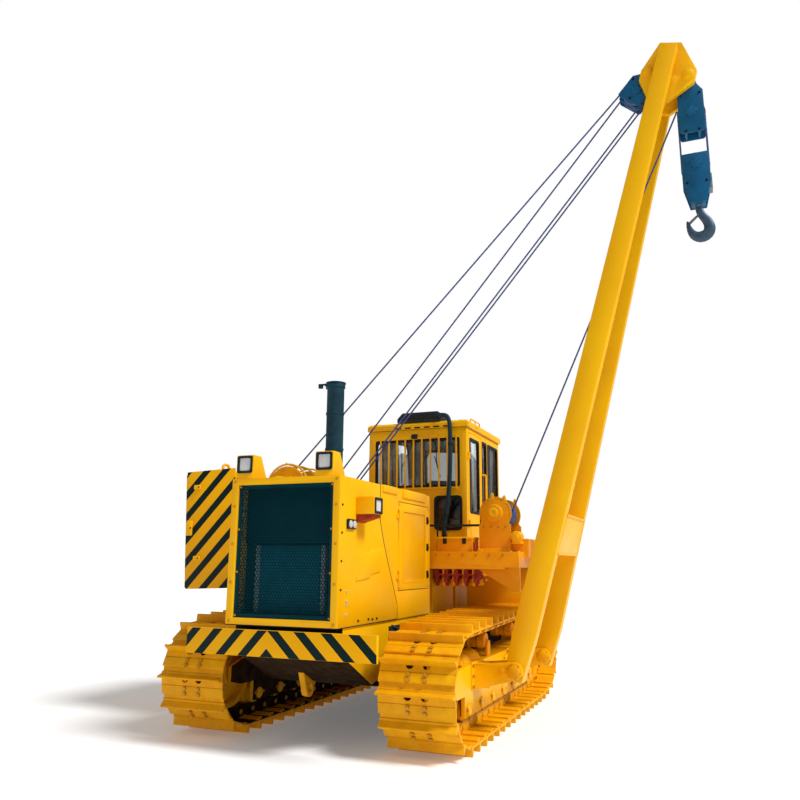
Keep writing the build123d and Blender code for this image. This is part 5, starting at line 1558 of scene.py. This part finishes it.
@dataclass(frozen=True)
class Saddle:
    """What stands on the saddle and the tower: winch covers, motors, hoses, valves, latches and bolts.

    Attributes:
        deck: The deck's height.
        hook_at: The hook winch's middle, across and up.
        boom_at: The boom winch's middle, across and up.
        hull_hose: Run of the hoses along the hull, with its steps across and up.
        motor_hoses: Runs of the hoses to both winch motors.
    """

    deck: float = 1820.0
    hook_at: Pair = (1290.0, 2270.0)
    boom_at: Pair = (-1040.0, 2560.0)
    hull_hose: tuple[Triple, ...] = (
        (-500, -30, 20), (-420, 0, 10), (-100, 14, -40), (260, 20, -18), (640, 14, -52), (980, 0, -12),
        (1320, 10, -40), (1460, -20, 10), (1500, -60, 30))
    motor_hoses: tuple[tuple[Triple, ...], ...] = (
        ((-540, 1290, 2200), (-540, 1290, 2120), (-560, 1270, 2010), (-570, 1200, 1930), (-560, 1130, 1870),
         (-540, 1090, 1812)),
        ((225, -1040, 2560), (120, -1040, 2560), (60, -1060, 2460), (60, -1100, 2100), (100, -1120, 1860),
         (160, -1120, 1812)))

    def build(self) -> None:
        """Fit out both winches and the deck."""
        self.add_hook_winch()
        self.add_boom_winch()
        self.add_deck()
        self.add_valves()
        self.add_hoses()

    def add_hook_winch(self) -> None:
        """Add the hook winch's bearing cap, ears, feet, motor and bolts."""
        piece = Piece("hook_winch_fittings").use(YELLOW)
        y, z = self.hook_at
        deck = self.deck
        piece.lathe([(104, 0), (104, 8), (92, 14), (92, 22), (60, 30), (60, 60), (52, 66), (30, 66),
                     (26, 60), (0, 60)], (115, y, z), AHEAD)
        for x, (middle, top) in product((93, -432), ((y - 26, z + 240), (y + 120, z + 205))):
            ear = ((-26, 96), (-17, 20), (-8, 0), (8, 0), (17, 20), (26, 96))
            piece.prism([(middle + across, top - down) for across, down in ear], "x", x, x + 19, 3)
        for low, x in product((y - 205, y + 150), (60, -470)):
            piece.block((x, low, deck), (x + 90, low + 55, deck + 26), 4)
        piece.block((115, y - 190, deck - 96), (131, y + 190, deck + 40), 4)
        piece.use(BOLT).bolt_circle((125, y, z), AHEAD, 84, 10, 14)
        row = (y - 130, y - 45, y + 45, y + 130)
        piece.bolts(product((131,), row, (deck - 60,)), AHEAD, 26, 12)
        piece.bolts(product((115,), row, (deck + 290,)), AHEAD, 18, 8)
        piece.use(YELLOW).lathe([(0, 0), (70, 0), (80, 6), (80, 22), (60, 30), (0, 34)], (-585, y, z),
                                BEHIND, 40)
        piece.use(BOLT).bolt_circle((-585, y, z), BEHIND, 94, 10, 18)
        piece.done("tractor", "yellow")

    def add_boom_winch(self) -> None:
        """Add the boom winch's bearing cap, motor, cover and bolts."""
        piece = Piece("boom_winch_fittings").use(YELLOW)
        y, z = self.boom_at
        piece.lathe([(110, -186), (118, -180), (118, -20), (110, -14), (110, 0), (96, 8), (70, 10),
                     (64, 26), (0, 26)], (1200, y, z), AHEAD)
        piece.use(BOLT).bolt_circle((1200, y, z), AHEAD, 90, 10, 16)
        piece.use(YELLOW).lathe([(0, -170), (64, -170), (74, -160), (74, -90), (96, -80), (120, -20),
                                 (120, 0)], (390, y, z), AHEAD, 40)
        places = ((-1170, 1780), (-1000, 1780), (-860, 1780), (-1150, 2380), (-860, 2200))
        for x, way in ((1010, AHEAD), (390, BEHIND)):
            piece.use(BOLT).bolts([(x, *place) for place in places], way, 24)
        piece.use(YELLOW)
        arch = [math.radians(20 + 14 * step) for step in range(11)]
        band = [(y + 292 * math.cos(turn), z + 292 * math.sin(turn)) for turn in arch]
        band += [(y + 272 * math.cos(turn), z + 272 * math.sin(turn)) for turn in reversed(arch)]
        for x in (440, 700, 950):
            piece.prism(band, "x", x - 8, x + 8)
        for turn in arch[::5]:
            at = (y + 282 * math.cos(turn), z + 282 * math.sin(turn))
            piece.rod((405, *at), (995, *at), 13, 14)
        piece.done("tractor", "yellow")

    def add_deck(self) -> None:
        """Add the tool box's lid and latches, the deck's edge strip, lamp bracket and bolts."""
        piece = Piece("deck_fittings").use(YELLOW)
        deck = self.deck
        lamp = (1560, deck + 170)
        piece.block((-66, 594, deck + 146), (206, 1046, deck + 172), 7)
        piece.lathe([(0, 0), (58, 0), (66, 8), (66, 120), (58, 128), (0, 128)], (60, *lamp), AHEAD, 36)
        piece.lathe([(0, 0), (50, 0), (50, 14), (24, 22), (24, 44), (0, 44)], (188, *lamp), AHEAD, 28)
        piece.block((40, 1500, deck + 90), (170, 1620, deck + 120), 6)
        piece.use(BLACK)
        for y in (700, 940):
            piece.prism(rounded((y - 24, y + 24), (deck + 92, deck + 158), 8), "x", 200, 207, 2)
            piece.block((207, y - 12, deck + 104), (218, y + 12, deck + 150), 4)
        piece.use(RED_PRIMER_AND_SHADE).block((205, 1060, deck), (240, 1090, deck + 110), 4)
        piece.use(BOLT).bolts([(330, y, deck - 34) for y in range(640, 1441, 160)], AHEAD, 22, 9)
        for x, up in ((-200, 150), (0, 150), (200, 0)):
            piece.use(PALE_BOLT).bolts([(x, y, deck + up) for y in (1500, 1590)], UP, 22, 9)
        piece.done("tractor", "yellow")

    def add_valves(self) -> None:
        """Add the primed valve bodies and pipes under the deck."""
        piece = Piece("deck_valves").use(RED_PRIMER_AND_SHADE)
        arch = [math.radians(10 * step) for step in range(19)]
        for y in range(620, 1101, 120):
            piece.block((110, y - 34, 1500), (300, y + 34, 1618), 14)
            piece.lathe([(0, 0), (26, 0), (30, 6), (30, 36), (22, 44), (22, 70), (0, 70)], (240, y, 1500),
                        DOWN, 20)
            pipe = [(302, y + 60 - 52 * math.cos(turn), 1470 + 92 * math.sin(turn)) for turn in arch]
            piece.sweep(pipe, [12], 10)
        piece.use(YELLOW)
        piece.prism([(590, 1452), (1120, 1452), (1180, 1492), (1180, 1512), (590, 1512)], "x", 80, 180, 6)
        piece.done("tractor", "yellow")

    def add_hoses(self) -> None:
        """Run hoses along the hull beside the left track and up to the winch motors."""
        piece = Piece("hydraulic_hoses").use(HOSE)
        for index in range(4):
            y, z = 590 + 16 * index, 1040 - 52 * index
            piece.sweep(smooth([(x, y + across, z + up) for x, across, up in self.hull_hose]), [19], 12)
        for step, route in product((-30, 30), self.motor_hoses):
            piece.sweep(smooth([(x, y + step, z) for x, y, z in route]), [18], 12)
        piece.use(STEEL)
        for x, (out, z) in product((-260, 420, 1140), ((666, 850), (640, 1062))):
            piece.block((x - 12, 560, z), (x + 12, out, z + 16), 3)
        piece.done("tractor", "black_plastic")


@dataclass(frozen=True)
class Counterweight:
    """The striped front cover, brackets, lifting eyes and bolts of the counterweight.

    Attributes:
        front: Its front face.
        marks: The brackets on that face: middle across and up, half the width and half the height.
        cover: The cover's outline, across and up.
        corner: The slab's inner lower corner, across and up.
        lean: How far the slab leans out, in degrees.
        eye: From the corner to the lifting eyes, across the slab and along it.
    """

    front: float = 1700.0
    marks: tuple[tuple[float, float, float, float], ...] = (
        (-1761, 2513, 42, 26), (-1838, 2054, 38, 84), (-1715, 1721, 42, 24))
    cover: tuple[Pair, ...] = (
        (-1272, 2719), (-1272, 1404), (-1842, 1383), (-1862, 1402), (-1929, 2644), (-1917, 2674),
        (-1886, 2693))
    corner: Pair = (-1332.0, 1440.0)
    lean: float = 4.5
    eye: Pair = (250.0, 1330.0)

    def build(self) -> None:
        """Fit out the slab."""
        piece = Piece("counterweight_fittings").use(STRIPED)
        piece.prism(self.cover, "x", self.front - 6, self.front + 12, 3)
        near, far = self.front + 10, self.front + 36
        for y, z, wide, high in self.marks:
            piece.use(YELLOW).block((near, y - wide, z - high), (far, y + wide, z + high), 8)
            piece.use(DARK_BOLT).bolts([(far, y + wide - 16, z)], AHEAD, 14, 6)
        sine, cosine = math.sin(math.radians(self.lean)), math.cos(math.radians(self.lean))
        (y, z), (out, up) = self.corner, self.eye
        eye_y, eye_z = y - out * cosine - up * sine, z - out * sine + up * cosine
        corners = ((-60, -20), (-60, 70), (60, 70), (60, -20))
        for x in (150, 1300):
            loop = [(x + step, eye_y, eye_z + rise) for step, rise in corners]
            piece.use(YELLOW).sweep(round_path(loop, 45, 6), [17], 12)
        for up in (330, 700, 1060):
            row = (y + 3 - up * sine, z + up * cosine)
            piece.use(BOLT).bolts([(x, *row) for x in (-120, 250, 1300, 1600)], (0, 1, 0), 40, 18)
        piece.done("counterweight", "yellow")


@dataclass(frozen=True)
class Boom:
    """Pins, keepers, brackets and welds of the boom.

    Attributes:
        x: Its middle along X.
        foot: Its foot pins, across and up.
        spread: From its middle to each foot along X.
        lean: How far it leans out at rest, in degrees.
    """

    x: float = BOOM_X
    foot: Pair = (1780.0, 670.0)
    spread: float = 680.0
    lean: float = 15.0

    def place(self, x: float, out: float, up: float) -> Triple:
        """Find a point on the boom.

        Args:
            x: How far it lies from the middle along X.
            out: How far it lies across the boom.
            up: How far it lies along the boom.

        Returns:
            The point in the part's frame.
        """
        turn = math.radians(self.lean)
        y = self.foot[0] + out * math.cos(turn) + up * math.sin(turn)
        z = self.foot[1] - out * math.sin(turn) + up * math.cos(turn)
        return (self.x + x, y, z)

    def build(self) -> None:
        """Fit out the boom and its feet."""
        self.add_feet()
        self.add_head()

    def add_feet(self) -> None:
        """Add the foot pins' end caps and keepers, and the brackets' plates with their bolts."""
        piece = Piece("boom_foot_pins")
        y, z = self.foot
        for sign in SIDES:
            middle = self.x + sign * self.spread
            low, high = middle - 119, middle + 119
            for face, way in ((high, AHEAD), (low, BEHIND)):
                out = way[0]
                piece.use(CAST_YELLOW).lathe([(72, 0), (72, 10), (58, 16), (58, 32), (48, 38), (0, 38)],
                                             (face, y, z), way, 36)
                piece.use(BOLT).bolt_circle((face + out * 14, y, z), way, 64, 6, 11)
                piece.use(CAST_YELLOW).block((face, y - 150, z - 24), (face + out * 12, y - 96, z + 24), 4)
            piece.use(YELLOW).block((low, 1366, 705), (high, 1500, 722), 5)
            piece.block((low - 60, 1362, 480), (high + 60, 1380, 735), 5)
            piece.use(BOLT).bolts(product((low - 38, high + 38), (1380,), (510, 610, 705)), (0, 1, 0), 28)
        piece.done("tractor", "yellow")

    def add_head(self) -> None:
        """Add the head pins' caps, the weld beads, the cross plate's rim and the top's bolts."""
        piece = Piece("boom_fittings").use(YELLOW)
        cap = [(66, 0), (66, 8), (50, 14), (50, 30), (42, 36), (0, 36)]
        for sign in SIDES:
            for out, up in ((-185, 6730), (270, 6700)):
                piece.lathe(cap, self.place(sign * 175, out, up), (sign, 0, 0), 32)
            for out in SIDES:
                beads = ((sign * 596, sign * 560, out * 116, 1192, 1588, 11),
                         (sign * 172, sign * 172, out * 92, 6420, 6980, 10))
                for first, last, across, low, high, size in beads:
                    piece.weld(self.place(first, across, low), self.place(last, across, high), size)
        for (up, half), out in product(((1190, 585), (1590, 552)), (119, -119)):
            piece.sweep([self.place(x, out, up) for x in (-half, 0, half)], [12], 10)
        turn = math.radians(self.lean)
        places = [self.place(x, out, 7012) for x, out in product((-45, 45), (-60, 60))]
        piece.use(BOLT).bolts(places, (0, math.sin(turn), math.cos(turn)), 20)
        piece.done("boom", "yellow")


@dataclass(frozen=True)
class Block:
    """A rope block: cheek plates, grooved sheaves, spacers and axle caps, drawn in its own plane.

    Attributes:
        node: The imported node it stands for.
        body: The body it rides on.
        at: Its pin, across and up.
        middle: Its middle along X.
        turn: How far its own first axis is turned from +Y, in radians.
        cheek: The plates' outline on its own axes.
        plates: The plates' limits along X from the middle.
        sheaves: The sheaves' middles along X from the middle.
        axle: The sheaves' axle on its own axes.
        spacers: The tubes between the plates, on its own axes.
        thick: The sheaves' width.
        bar: How far along X a mounting bar goes, where it has one.
    """

    node: str
    body: str
    at: Pair
    middle: float
    turn: float
    cheek: tuple[Pair, ...]
    plates: tuple[Pair, ...]
    sheaves: tuple[float, ...]
    axle: Pair
    spacers: tuple[Pair, ...]
    thick: float = 58.0
    bar: float | None = None

    def place(self, first: float, second: float) -> Pair:
        """Find a point on the block.

        Args:
            first: Its distance from the pin along the block's first axis.
            second: Its distance along the second axis.

        Returns:
            The point, across and up.
        """
        y = self.at[0] + first * math.cos(self.turn) - second * math.sin(self.turn)
        z = self.at[1] + first * math.sin(self.turn) + second * math.cos(self.turn)
        return (y, z)

    def build(self) -> None:
        """Build the block."""
        piece = Piece(f"{self.node}_assembly").use(BLOCK_BLUE)
        outline = [self.place(*point) for point in self.cheek]
        for low, high in self.plates:
            piece.prism(outline, "x", self.middle + low, self.middle + high, 5)
        low, high = self.middle + self.plates[0][0], self.middle + self.plates[1][1]
        ends = ((low, BEHIND), (high, AHEAD))
        axle = self.place(*self.axle)
        for face, way in ends:
            piece.use(BLOCK_BLUE).lathe([(66, 0), (66, 8), (52, 13), (0, 13)], (face, *axle), way, 32)
            piece.use(DARK_BOLT).bolt_circle((face + way[0] * 9, *axle), way, 56, 6, 10)
        for spacer in self.spacers:
            at = self.place(*spacer)
            piece.use(BLOCK_BLUE).rod((low + 8, *at), (high - 8, *at), 15, 16)
            for face, way in ends:
                piece.use(DARK_BOLT).bolts([(face, *at)], way, 22, 10)
        half = self.thick / 2
        groove = [(40, -half), (62, -half), (66, -half + 10), (104, -half + 12), (110, -half), (147, -half),
                  (149, -half + 5), (131, -9), (129.5, 0)]
        groove += mirrored(groove[:-1])
        turns = [math.tau * step / 10 for step in range(11)]
        wound = [(REACH + WIRE * math.cos(turn), WIRE * math.sin(turn)) for turn in turns]
        for offset in self.sheaves:
            start = (self.middle + offset, *axle)
            piece.use(FORGED).lathe(groove, start, AHEAD)
            piece.use(ROPE).lathe(wound, start, AHEAD)
        piece.use(STEEL).rod((low + 4, *axle), (high - 4, *axle), 40, 24)
        if self.bar is not None:
            piece.rod((self.middle, *axle), (self.bar, *axle), 50, 32, 4)
        if self.node == "hook_block":
            self.add_more(piece)
        piece.done(self.body, "block_blue", [self.node])

    def add_more(self, piece: Piece) -> None:
        """Add the housing and the grey plates that only the hook block has.

        Args:
            piece: The block's piece.
        """
        y, z = self.at
        low, high = self.middle - 74, self.middle + 74
        piece.use(BLOCK_BLUE).block((low - 18, y - 75, z - 450), (high + 18, y + 75, z - 342), 10)
        for bottom, top in ((z - 300, z - 210), (z - 205, z - 120)):
            piece.use(COLUMN_GREY).block((low, y + 108, bottom), (high, y + 158, top), 8)


DRUMS = (
    Drum("hook_drum", (-402, 82), (1290, 2270), 150, 195, (-490, 140)),
    Drum("boom_drum", (428, 972), (-1040, 2560), 190, 255, (390, 1065)),
)

# Across and up: pin of the load block, pin of the boom's upper block and axle of its lower one.
# Then the boom lines' slope and the heights of both axles of the load tackle.
LOAD = (3774.89, 7071.82)
LUFF = (3343.16, 7218.56)
ANCHOR = (-950.0, 2330.0)
PULL = math.atan2(ANCHOR[1] - LUFF[1], ANCHOR[0] - LUFF[0])
UPPER_AXLE, LOWER_AXLE = LOAD[1] - 420, LOAD[1] - 1060

BLOCKS = (
    Block("luff_block", "boom", LUFF, BOOM_X, PULL,
          ((-52, -28), (-52, 28), (0, 62), (80, 148), (340, 148), (358, 130), (358, -130), (340, -148),
           (80, -148), (0, -62)),
          ((-104, -86), (86, 104), (-18, 18)), (-52, 52), (215, 0), ((110, 120), (320, 0), (110, -120))),
    Block("luff_anchor", "tractor", ANCHOR, 215, 0.0,
          ((-150, -110), (-150, 40), (-20, 160), (90, 160), (120, -20), (-20, -150)),
          ((-110, -92), (92, 110)), (-56, 56), (0, 0), ((-128, -60), (60, 148), (-10, -136)), bar=390.0),
    Block("load_block", "load_block", LOAD, BOOM_X, 0.0,
          ((-60, 62), (60, 62), (75, -80), (138, -170), (138, -640), (118, -670), (-118, -670), (-138, -640),
           (-138, -170), (-75, -80)),
          ((-100, -80), (80, 100)), (-47, 47), (0, -420),
          ((-100, -200), (100, -200), (-70, -650), (70, -650))),
    Block("hook_block", "hook_block", (LOAD[0], LOWER_AXLE), BOOM_X, 0.0,
          ((-130, 135), (130, 135), (145, 115), (145, -215), (85, -455), (-85, -455), (-145, -215),
           (-145, 115)),
          ((-100, -80), (80, 100)), (-47, 47), (0, 0), ((-100, -215), (100, -215))),
)


@dataclass(frozen=True)
class Hook:
    """The lifting hook: a forged body drawn along its middle line, its shank, nut and latch.

    Attributes:
        x: Its middle along X.
        at: The bowl, across and up.
        line: Middle line of the body from the bowl, across and up, and its radius.
    """

    x: float = BOOM_X
    at: Pair = (LOAD[0], LOWER_AXLE - 740)
    line: tuple[Triple, ...] = (
        (0, 285, 38), (3, 240, 40), (10, 198, 43), (38, 146, 46), (78, 92, 53), (97, 25, 61), (90, -34, 66),
        (52, -76, 70), (-6, -88, 69), (-58, -70, 57), (-96, -24, 42), (-114, 35, 29), (-123, 85, 20),
        (-130, 122, 9))

    def build(self) -> None:
        """Forge the hook."""
        piece = Piece("forged_hook").use(FORGED)
        y, z = self.at
        path = [(self.x, y + across, z + up) for across, up, _ in self.line]
        piece.sweep(path, [size for _, _, size in self.line], 20, flat=0.6)
        piece.lathe([(0, 262), (38, 262), (38, 402), (60, 402), (62, 406), (62, 452), (58, 456), (38, 456),
                     (34, 462), (0, 462)], (self.x, y, z), UP, 32)
        latch = [(y - 30, z + 172), (y - 12, z + 160), (y - 100, z + 78), (y - 122, z + 92)]
        piece.use(STEEL).prism(latch, "x", self.x - 16, self.x + 16, 3)
        piece.rod((self.x - 26, y - 14, z + 172), (self.x + 26, y - 14, z + 172), 9, 14, 2)
        forged = piece.done("hook", "bright_steel", ["lifting_hook"]).modifiers.new("smooth", "SUBSURF")
        forged.levels = 1
        forged.render_levels = 1


@dataclass(frozen=True)
class Rigging:
    """The taut wire ropes between winches, blocks and hook.

    Attributes:
        rope: The rope's radius.
        reach: From a sheave's axle to the middle of the rope on it.
    """

    rope: float = WIRE
    reach: float = REACH

    def build(self) -> None:
        """Stretch all the ropes."""
        self.add_boom_lines()
        self.add_winch_lines()
        self.add_falls()

    def luff_sheave(self, across: float) -> Pair:
        """Find a point beside the boom head's sheaves.

        Args:
            across: How far it lies from their axle, square to the boom lines.

        Returns:
            The point, across and up.
        """
        head = BLOCKS[0]
        return head.place(head.axle[0], across)

    def add_boom_lines(self) -> None:
        """Stretch the three falls that hold the boom."""
        piece = Piece("boom_line_ropes").use(ROPE)
        for offset, side in ((-52, -1), (-52, 1), (52, 1)):
            out = side * self.reach
            low = (215 + offset, ANCHOR[0] - out * math.sin(PULL), ANCHOR[1] + out * math.cos(PULL))
            piece.rope((BOOM_X + offset, *self.luff_sheave(out)), low, self.rope)
        shown = piece.done("", "rope", ["boom_lines"])
        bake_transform(shown)

    def leave(self, drum: Drum, to: Pair, hand: int) -> Pair:
        """Find where a rope leaves its drum.

        Args:
            drum: The drum.
            to: The point it runs to, across and up.
            hand: Which side of the drum it leaves.

        Returns:
            The point, across and up.
        """
        y, z = drum.at
        radius = drum.wound + self.rope + 0.3
        run = math.hypot(to[0] - y, to[1] - z)
        turn = math.atan2(to[1] - z, to[0] - y) + hand * math.acos(radius / run)
        return (y + radius * math.cos(turn), z + radius * math.sin(turn))

    def add_winch_lines(self) -> None:
        """Stretch the boom winch's lead and the hook winch's line."""
        piece = Piece("winch_line_ropes").use(ROPE)
        hook_drum, boom_drum = DRUMS
        head = self.luff_sheave(-self.reach)
        piece.rope((577, *head), (700, *self.leave(boom_drum, head, 1)), self.rope)
        top = (LOAD[0] - 149, UPPER_AXLE + 90)
        piece.rope((0, *self.leave(hook_drum, top, -1)), (BOOM_X, *top), self.rope)
        shown = piece.done("", "rope", ["winch_lines"])
        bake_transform(shown)

    def add_falls(self) -> None:
        """Stretch the falls between the load block and the hook block."""
        piece = Piece("hoist_fall_ropes").use(ROPE)
        for x, side in product((478, 572), SIDES):
            y = LOAD[0] + side * self.reach
            piece.rope((x, y, UPPER_AXLE), (x, y, LOWER_AXLE), self.rope)
        shown = piece.done("", "rope", ["hoist_falls"])
        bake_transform(shown)


@dataclass(frozen=True)
class Rear:
    """The tank's cap, straps, steps and lamps, the fenders' tread and the hull's bolts.

    Attributes:
        tank: The tank's rear face.
        cab: The cab's rear wall.
        half: Half the cab's width.
        fender: The fenders' top.
        fender_out: Half the width over the fenders.
    """

    tank: float = -2790.0
    cab: float = -2339.0
    half: float = 708.0
    fender: float = 1535.0
    fender_out: float = 1515.0

    def build(self) -> None:
        """Fit out the rear."""
        piece = Piece("rear_fittings").use(YELLOW)
        piece.lathe([(70, 0), (80, 4), (80, 30), (70, 38), (30, 40), (26, 52), (0, 52)], (-2600, 450, 2430),
                    UP, 36)
        for y in (-420, 150):
            piece.block((self.tank - 8, y - 35, 1720), (self.tank + 4, y + 35, 2384), 3)
            piece.block((self.tank - 8, y - 35, 2376), (self.cab, y + 35, 2388), 3)
        for side, z in product(SIDES, (1560, 1860)):
            near, far = side * self.half, side * (self.half + 120)
            step = [(-2700, near, z), (-2700, far, z), (-2430, far, z), (-2430, near, z)]
            piece.sweep(round_path(step, 30), [14], 12)
        for y in (-560, 560):
            piece.use(BLACK).block((self.tank - 40, y - 70, 2170), (self.tank, y + 70, 2290), 8)
            lamp = rounded((y - 56, y + 56), (2184, 2276), 14)
            piece.use(RED_KNOB).prism(lamp, "x", self.tank - 48, self.tank - 38, 3)
        piece.use(BOLT).bolts(product((-2770, -2680, -2590), (-90, 90), (900,)), UP, 26)
        piece.done("tractor", "yellow")
        self.add_treads()

    def add_treads(self) -> None:
        """Lay tread plates with raised ribs on the fenders, and add their skirts and edge bolts."""
        piece = Piece("fender_treads")
        for side, inside in ((LEFT, 720), (RIGHT, 1110)):
            edge, rib = side * self.fender_out, side * 1080
            piece.use(YELLOW).block((-664, side * 700, 1165), (-652, edge - side * 10, 1510), 4)
            piece.prism([(-800, 1500), (-664, 1500), (-664, 1200)], "y", rib - 6, rib + 6)
            for x in range(-2160, -672, 62):
                piece.block((x, side * inside, self.fender - 1), (x + 14, edge - side * 40, self.fender + 5))
            piece.use(BOLT).bolts([(x, edge, 1440) for x in range(-2120, -660, 240)], (0, side, 0), 22, 9)
        piece.done("tractor", "yellow")


# Stage


@dataclass(frozen=True)
class Stage:
    """The camera, the pale floor and the studio light.

    Attributes:
        camera_at: The camera's place in metres.
        heading: The camera's turn from the machine's axis, in radians.
        rise: How far it looks up, in radians.
        roll: Its roll, in radians.
        lens_mm: Focal length on a 36 mm sensor.
        floor_m: The floor's width in metres.
        fill: Strength of the light from all round.
        key: Strength of the sun.
        sun_from: Where the sun stands.
        sun_width: How wide the sun is, in degrees.
    """

    camera_at: Triple = (8.834, 3.638, 1.697)
    heading: float = 0.388
    rise: float = 0.212
    roll: float = 0.008
    lens_mm: float = 33.855
    floor_m: float = 160.0
    fill: float = 0.36
    key: float = 2.9
    sun_from: Triple = (0.12, 0.75, 0.9)
    sun_width: float = 16.0

    def build(self) -> None:
        """Set the stage."""
        self.add_camera()
        self.add_floor()
        self.add_light()

    def add_camera(self) -> None:
        """Place the camera."""
        flat = math.cos(self.rise)
        look = Vector((-math.cos(self.heading) * flat, -math.sin(self.heading) * flat, math.sin(self.rise)))
        level = look.cross(Vector(UP)).normalized()
        over = level.cross(look)
        right = math.cos(self.roll) * level + math.sin(self.roll) * over
        up = math.cos(self.roll) * over - math.sin(self.roll) * level
        data = bpy.data.cameras.new("camera")
        data.lens = self.lens_mm
        data.sensor_width = 36.0
        data.clip_end = 400.0
        camera = bpy.data.objects.new("camera", data)
        turn = Matrix((right, up, -look)).transposed().to_4x4()
        camera.matrix_world = Matrix.Translation(self.camera_at) @ turn
        bpy.context.scene.collection.objects.link(camera)
        bpy.context.scene.camera = camera

    def add_floor(self) -> None:
        """Lay the pale floor."""
        piece = Piece("studio_floor").use(FLOOR)
        part = bmesh.new()
        bmesh.ops.create_grid(part, x_segments=4, y_segments=4, size=self.floor_m / MM / 2)
        piece.take(part)
        piece.show()

    def add_light(self) -> None:
        """Light the stage from above and from the boom side, in front of a white surround."""
        world = bpy.data.worlds.new("studio")
        world.use_nodes = True
        tree = world.node_tree
        tree.nodes.clear()
        seen = add_node(tree, "ShaderNodeLightPath").outputs["Is Camera Ray"]
        bright = add_node(tree, "ShaderNodeMapRange", {"To Min": self.fill, "To Max": 1.0}, {"Value": seen})
        surround = add_node(tree, "ShaderNodeBackground", {"Color": WHITE},
                            {"Strength": bright.outputs["Result"]})
        add_node(tree, "ShaderNodeOutputWorld", links={"Surface": surround.outputs["Background"]})
        bpy.context.scene.world = world
        bpy.context.scene.view_settings.view_transform = "Standard"
        sun = bpy.data.lights.new("key", "SUN")
        sun.energy = self.key
        sun.angle = math.radians(self.sun_width)
        key = bpy.data.objects.new("key", sun)
        key.matrix_world = along((0, 0, 0), self.sun_from)
        bpy.context.scene.collection.objects.link(key)


def front_of(limit: float) -> Chooser:
    """Choose faces that look forward and lie past a place along X."""
    return lambda normal, centre: abs(normal.x) > 0.9 and centre.x > limit


def ends_of(low: float, high: float) -> Chooser:
    """Choose faces that look along X at either end of a piece."""
    return lambda normal, centre: abs(normal.x) > 0.9 and not low < centre.x < high


def underside(normal: Vector, centre: Vector) -> bool:
    """Choose the hull's faces that look down, and those of its nose below the bumper, which are painted dark
    as shade.

    Args:
        normal: The face's normal.
        centre: Its centre in millimetres.

    Returns:
        Whether the face is one of them.
    """
    nose = normal.x > 0.25 and centre.z < 1150
    return normal.z < -0.15 or nose or (abs(normal.y) > 0.5 and centre.z < 900)


def lined(normal: Vector, centre: Vector) -> bool:
    """Choose the cab's inner faces, by their centre alone."""
    return -2300 < centre.x < -720 and abs(centre.y) < 670


def inner(side: int) -> Chooser:
    """Choose the inner face of a cab door on one side."""
    return lambda normal, centre: normal.y * side < -0.9


def facing(side: int) -> Chooser:
    """Choose faces that look across to one side, or down."""
    return lambda normal, centre: normal.y * side > 0.5 or normal.z < -0.5


# Nodes with one finish, and the rounding of their edges.
PLAIN = {
    YELLOW: {"final_drives": 8, "radiator_guard": 8, "engine_hood": 5, "engine_door": 3, "lamp_housings": 5,
             "winch_tower": 4, "cylinder_barrel": 3, "fuel_tank": 14, "fenders": 4, "cab_roof": 12,
             "window_guard": 1, "boom": 8},
    CAST_YELLOW: {"sprockets": 5, "front_tow_eye": 6, "drawbar": 6},
    # Painted shade: the saddle, tool box, hook winch frame and cab platform take the orange-tinted yellow.
    ORANGE_SHADE_YELLOW: {"saddle_frame": 6, "tool_box": 6, "hook_winch_frame": 4, "cab_platform": 6},
    BLACK: {"engine_block": 10},
    STACK_BLUE: {"exhaust_stack": 3, "rain_cap": 2},
    CHROME: {"cylinder_rod": 2},
    GLASS: {"cab_glass": 1, "cab_door_left_glass": 1, "cab_door_right_glass": 1},
}
DRESSES = (
    # Painted shade: dark faces under the hull and on its nose, and on the track frames' inner faces.
    Dress("main_frame", YELLOW, 6, HULL_SHADE, underside),
    Dress("track_frame_left", YELLOW, 4, HULL_SHADE, facing(RIGHT)),
    Dress("track_frame_right", YELLOW, 4, HULL_SHADE, facing(LEFT)),
    Dress("front_bumper", YELLOW, 4, CHEVRONS, front_of(2770)),
    Dress("counterweight", YELLOW, 10, STRIPED, ends_of(-240, 1690), ((0, -1936, 2692), (0, -0.0413, 0.999))),
    # Inner faces of the cab and doors in pale grey lining, which also stands as painted reflection on the
    # windows.
    Dress("cab_shell", YELLOW, 5, LINING_AND_REFLECTION_GREY, lined),
    Dress("cab_door_left", YELLOW, 4, LINING_AND_REFLECTION_GREY, inner(LEFT)),
    Dress("cab_door_right", YELLOW, 4, LINING_AND_REFLECTION_GREY, inner(RIGHT)),
    *(Dress(node, finish, edge) for finish, nodes in PLAIN.items() for node, edge in nodes.items()),
)


def main() -> None:
    """Load the frame, dress it, add what the solids leave out and set the stage."""
    logging.basicConfig(level=logging.INFO, format="%(message)s")
    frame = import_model()
    for dress in DRESSES:
        dress.build(frame)
    for assembly in (Tracks(), RunningGear(), Hood(), Cab(), Saddle(), Counterweight(), Boom(), *DRUMS,
                     *BLOCKS, Hook(), Rigging(), Rear()):
        assembly.build()
        log.info("built %s", type(assembly).__name__)
    Stage().build()


if __name__ == "__main__":
    main()
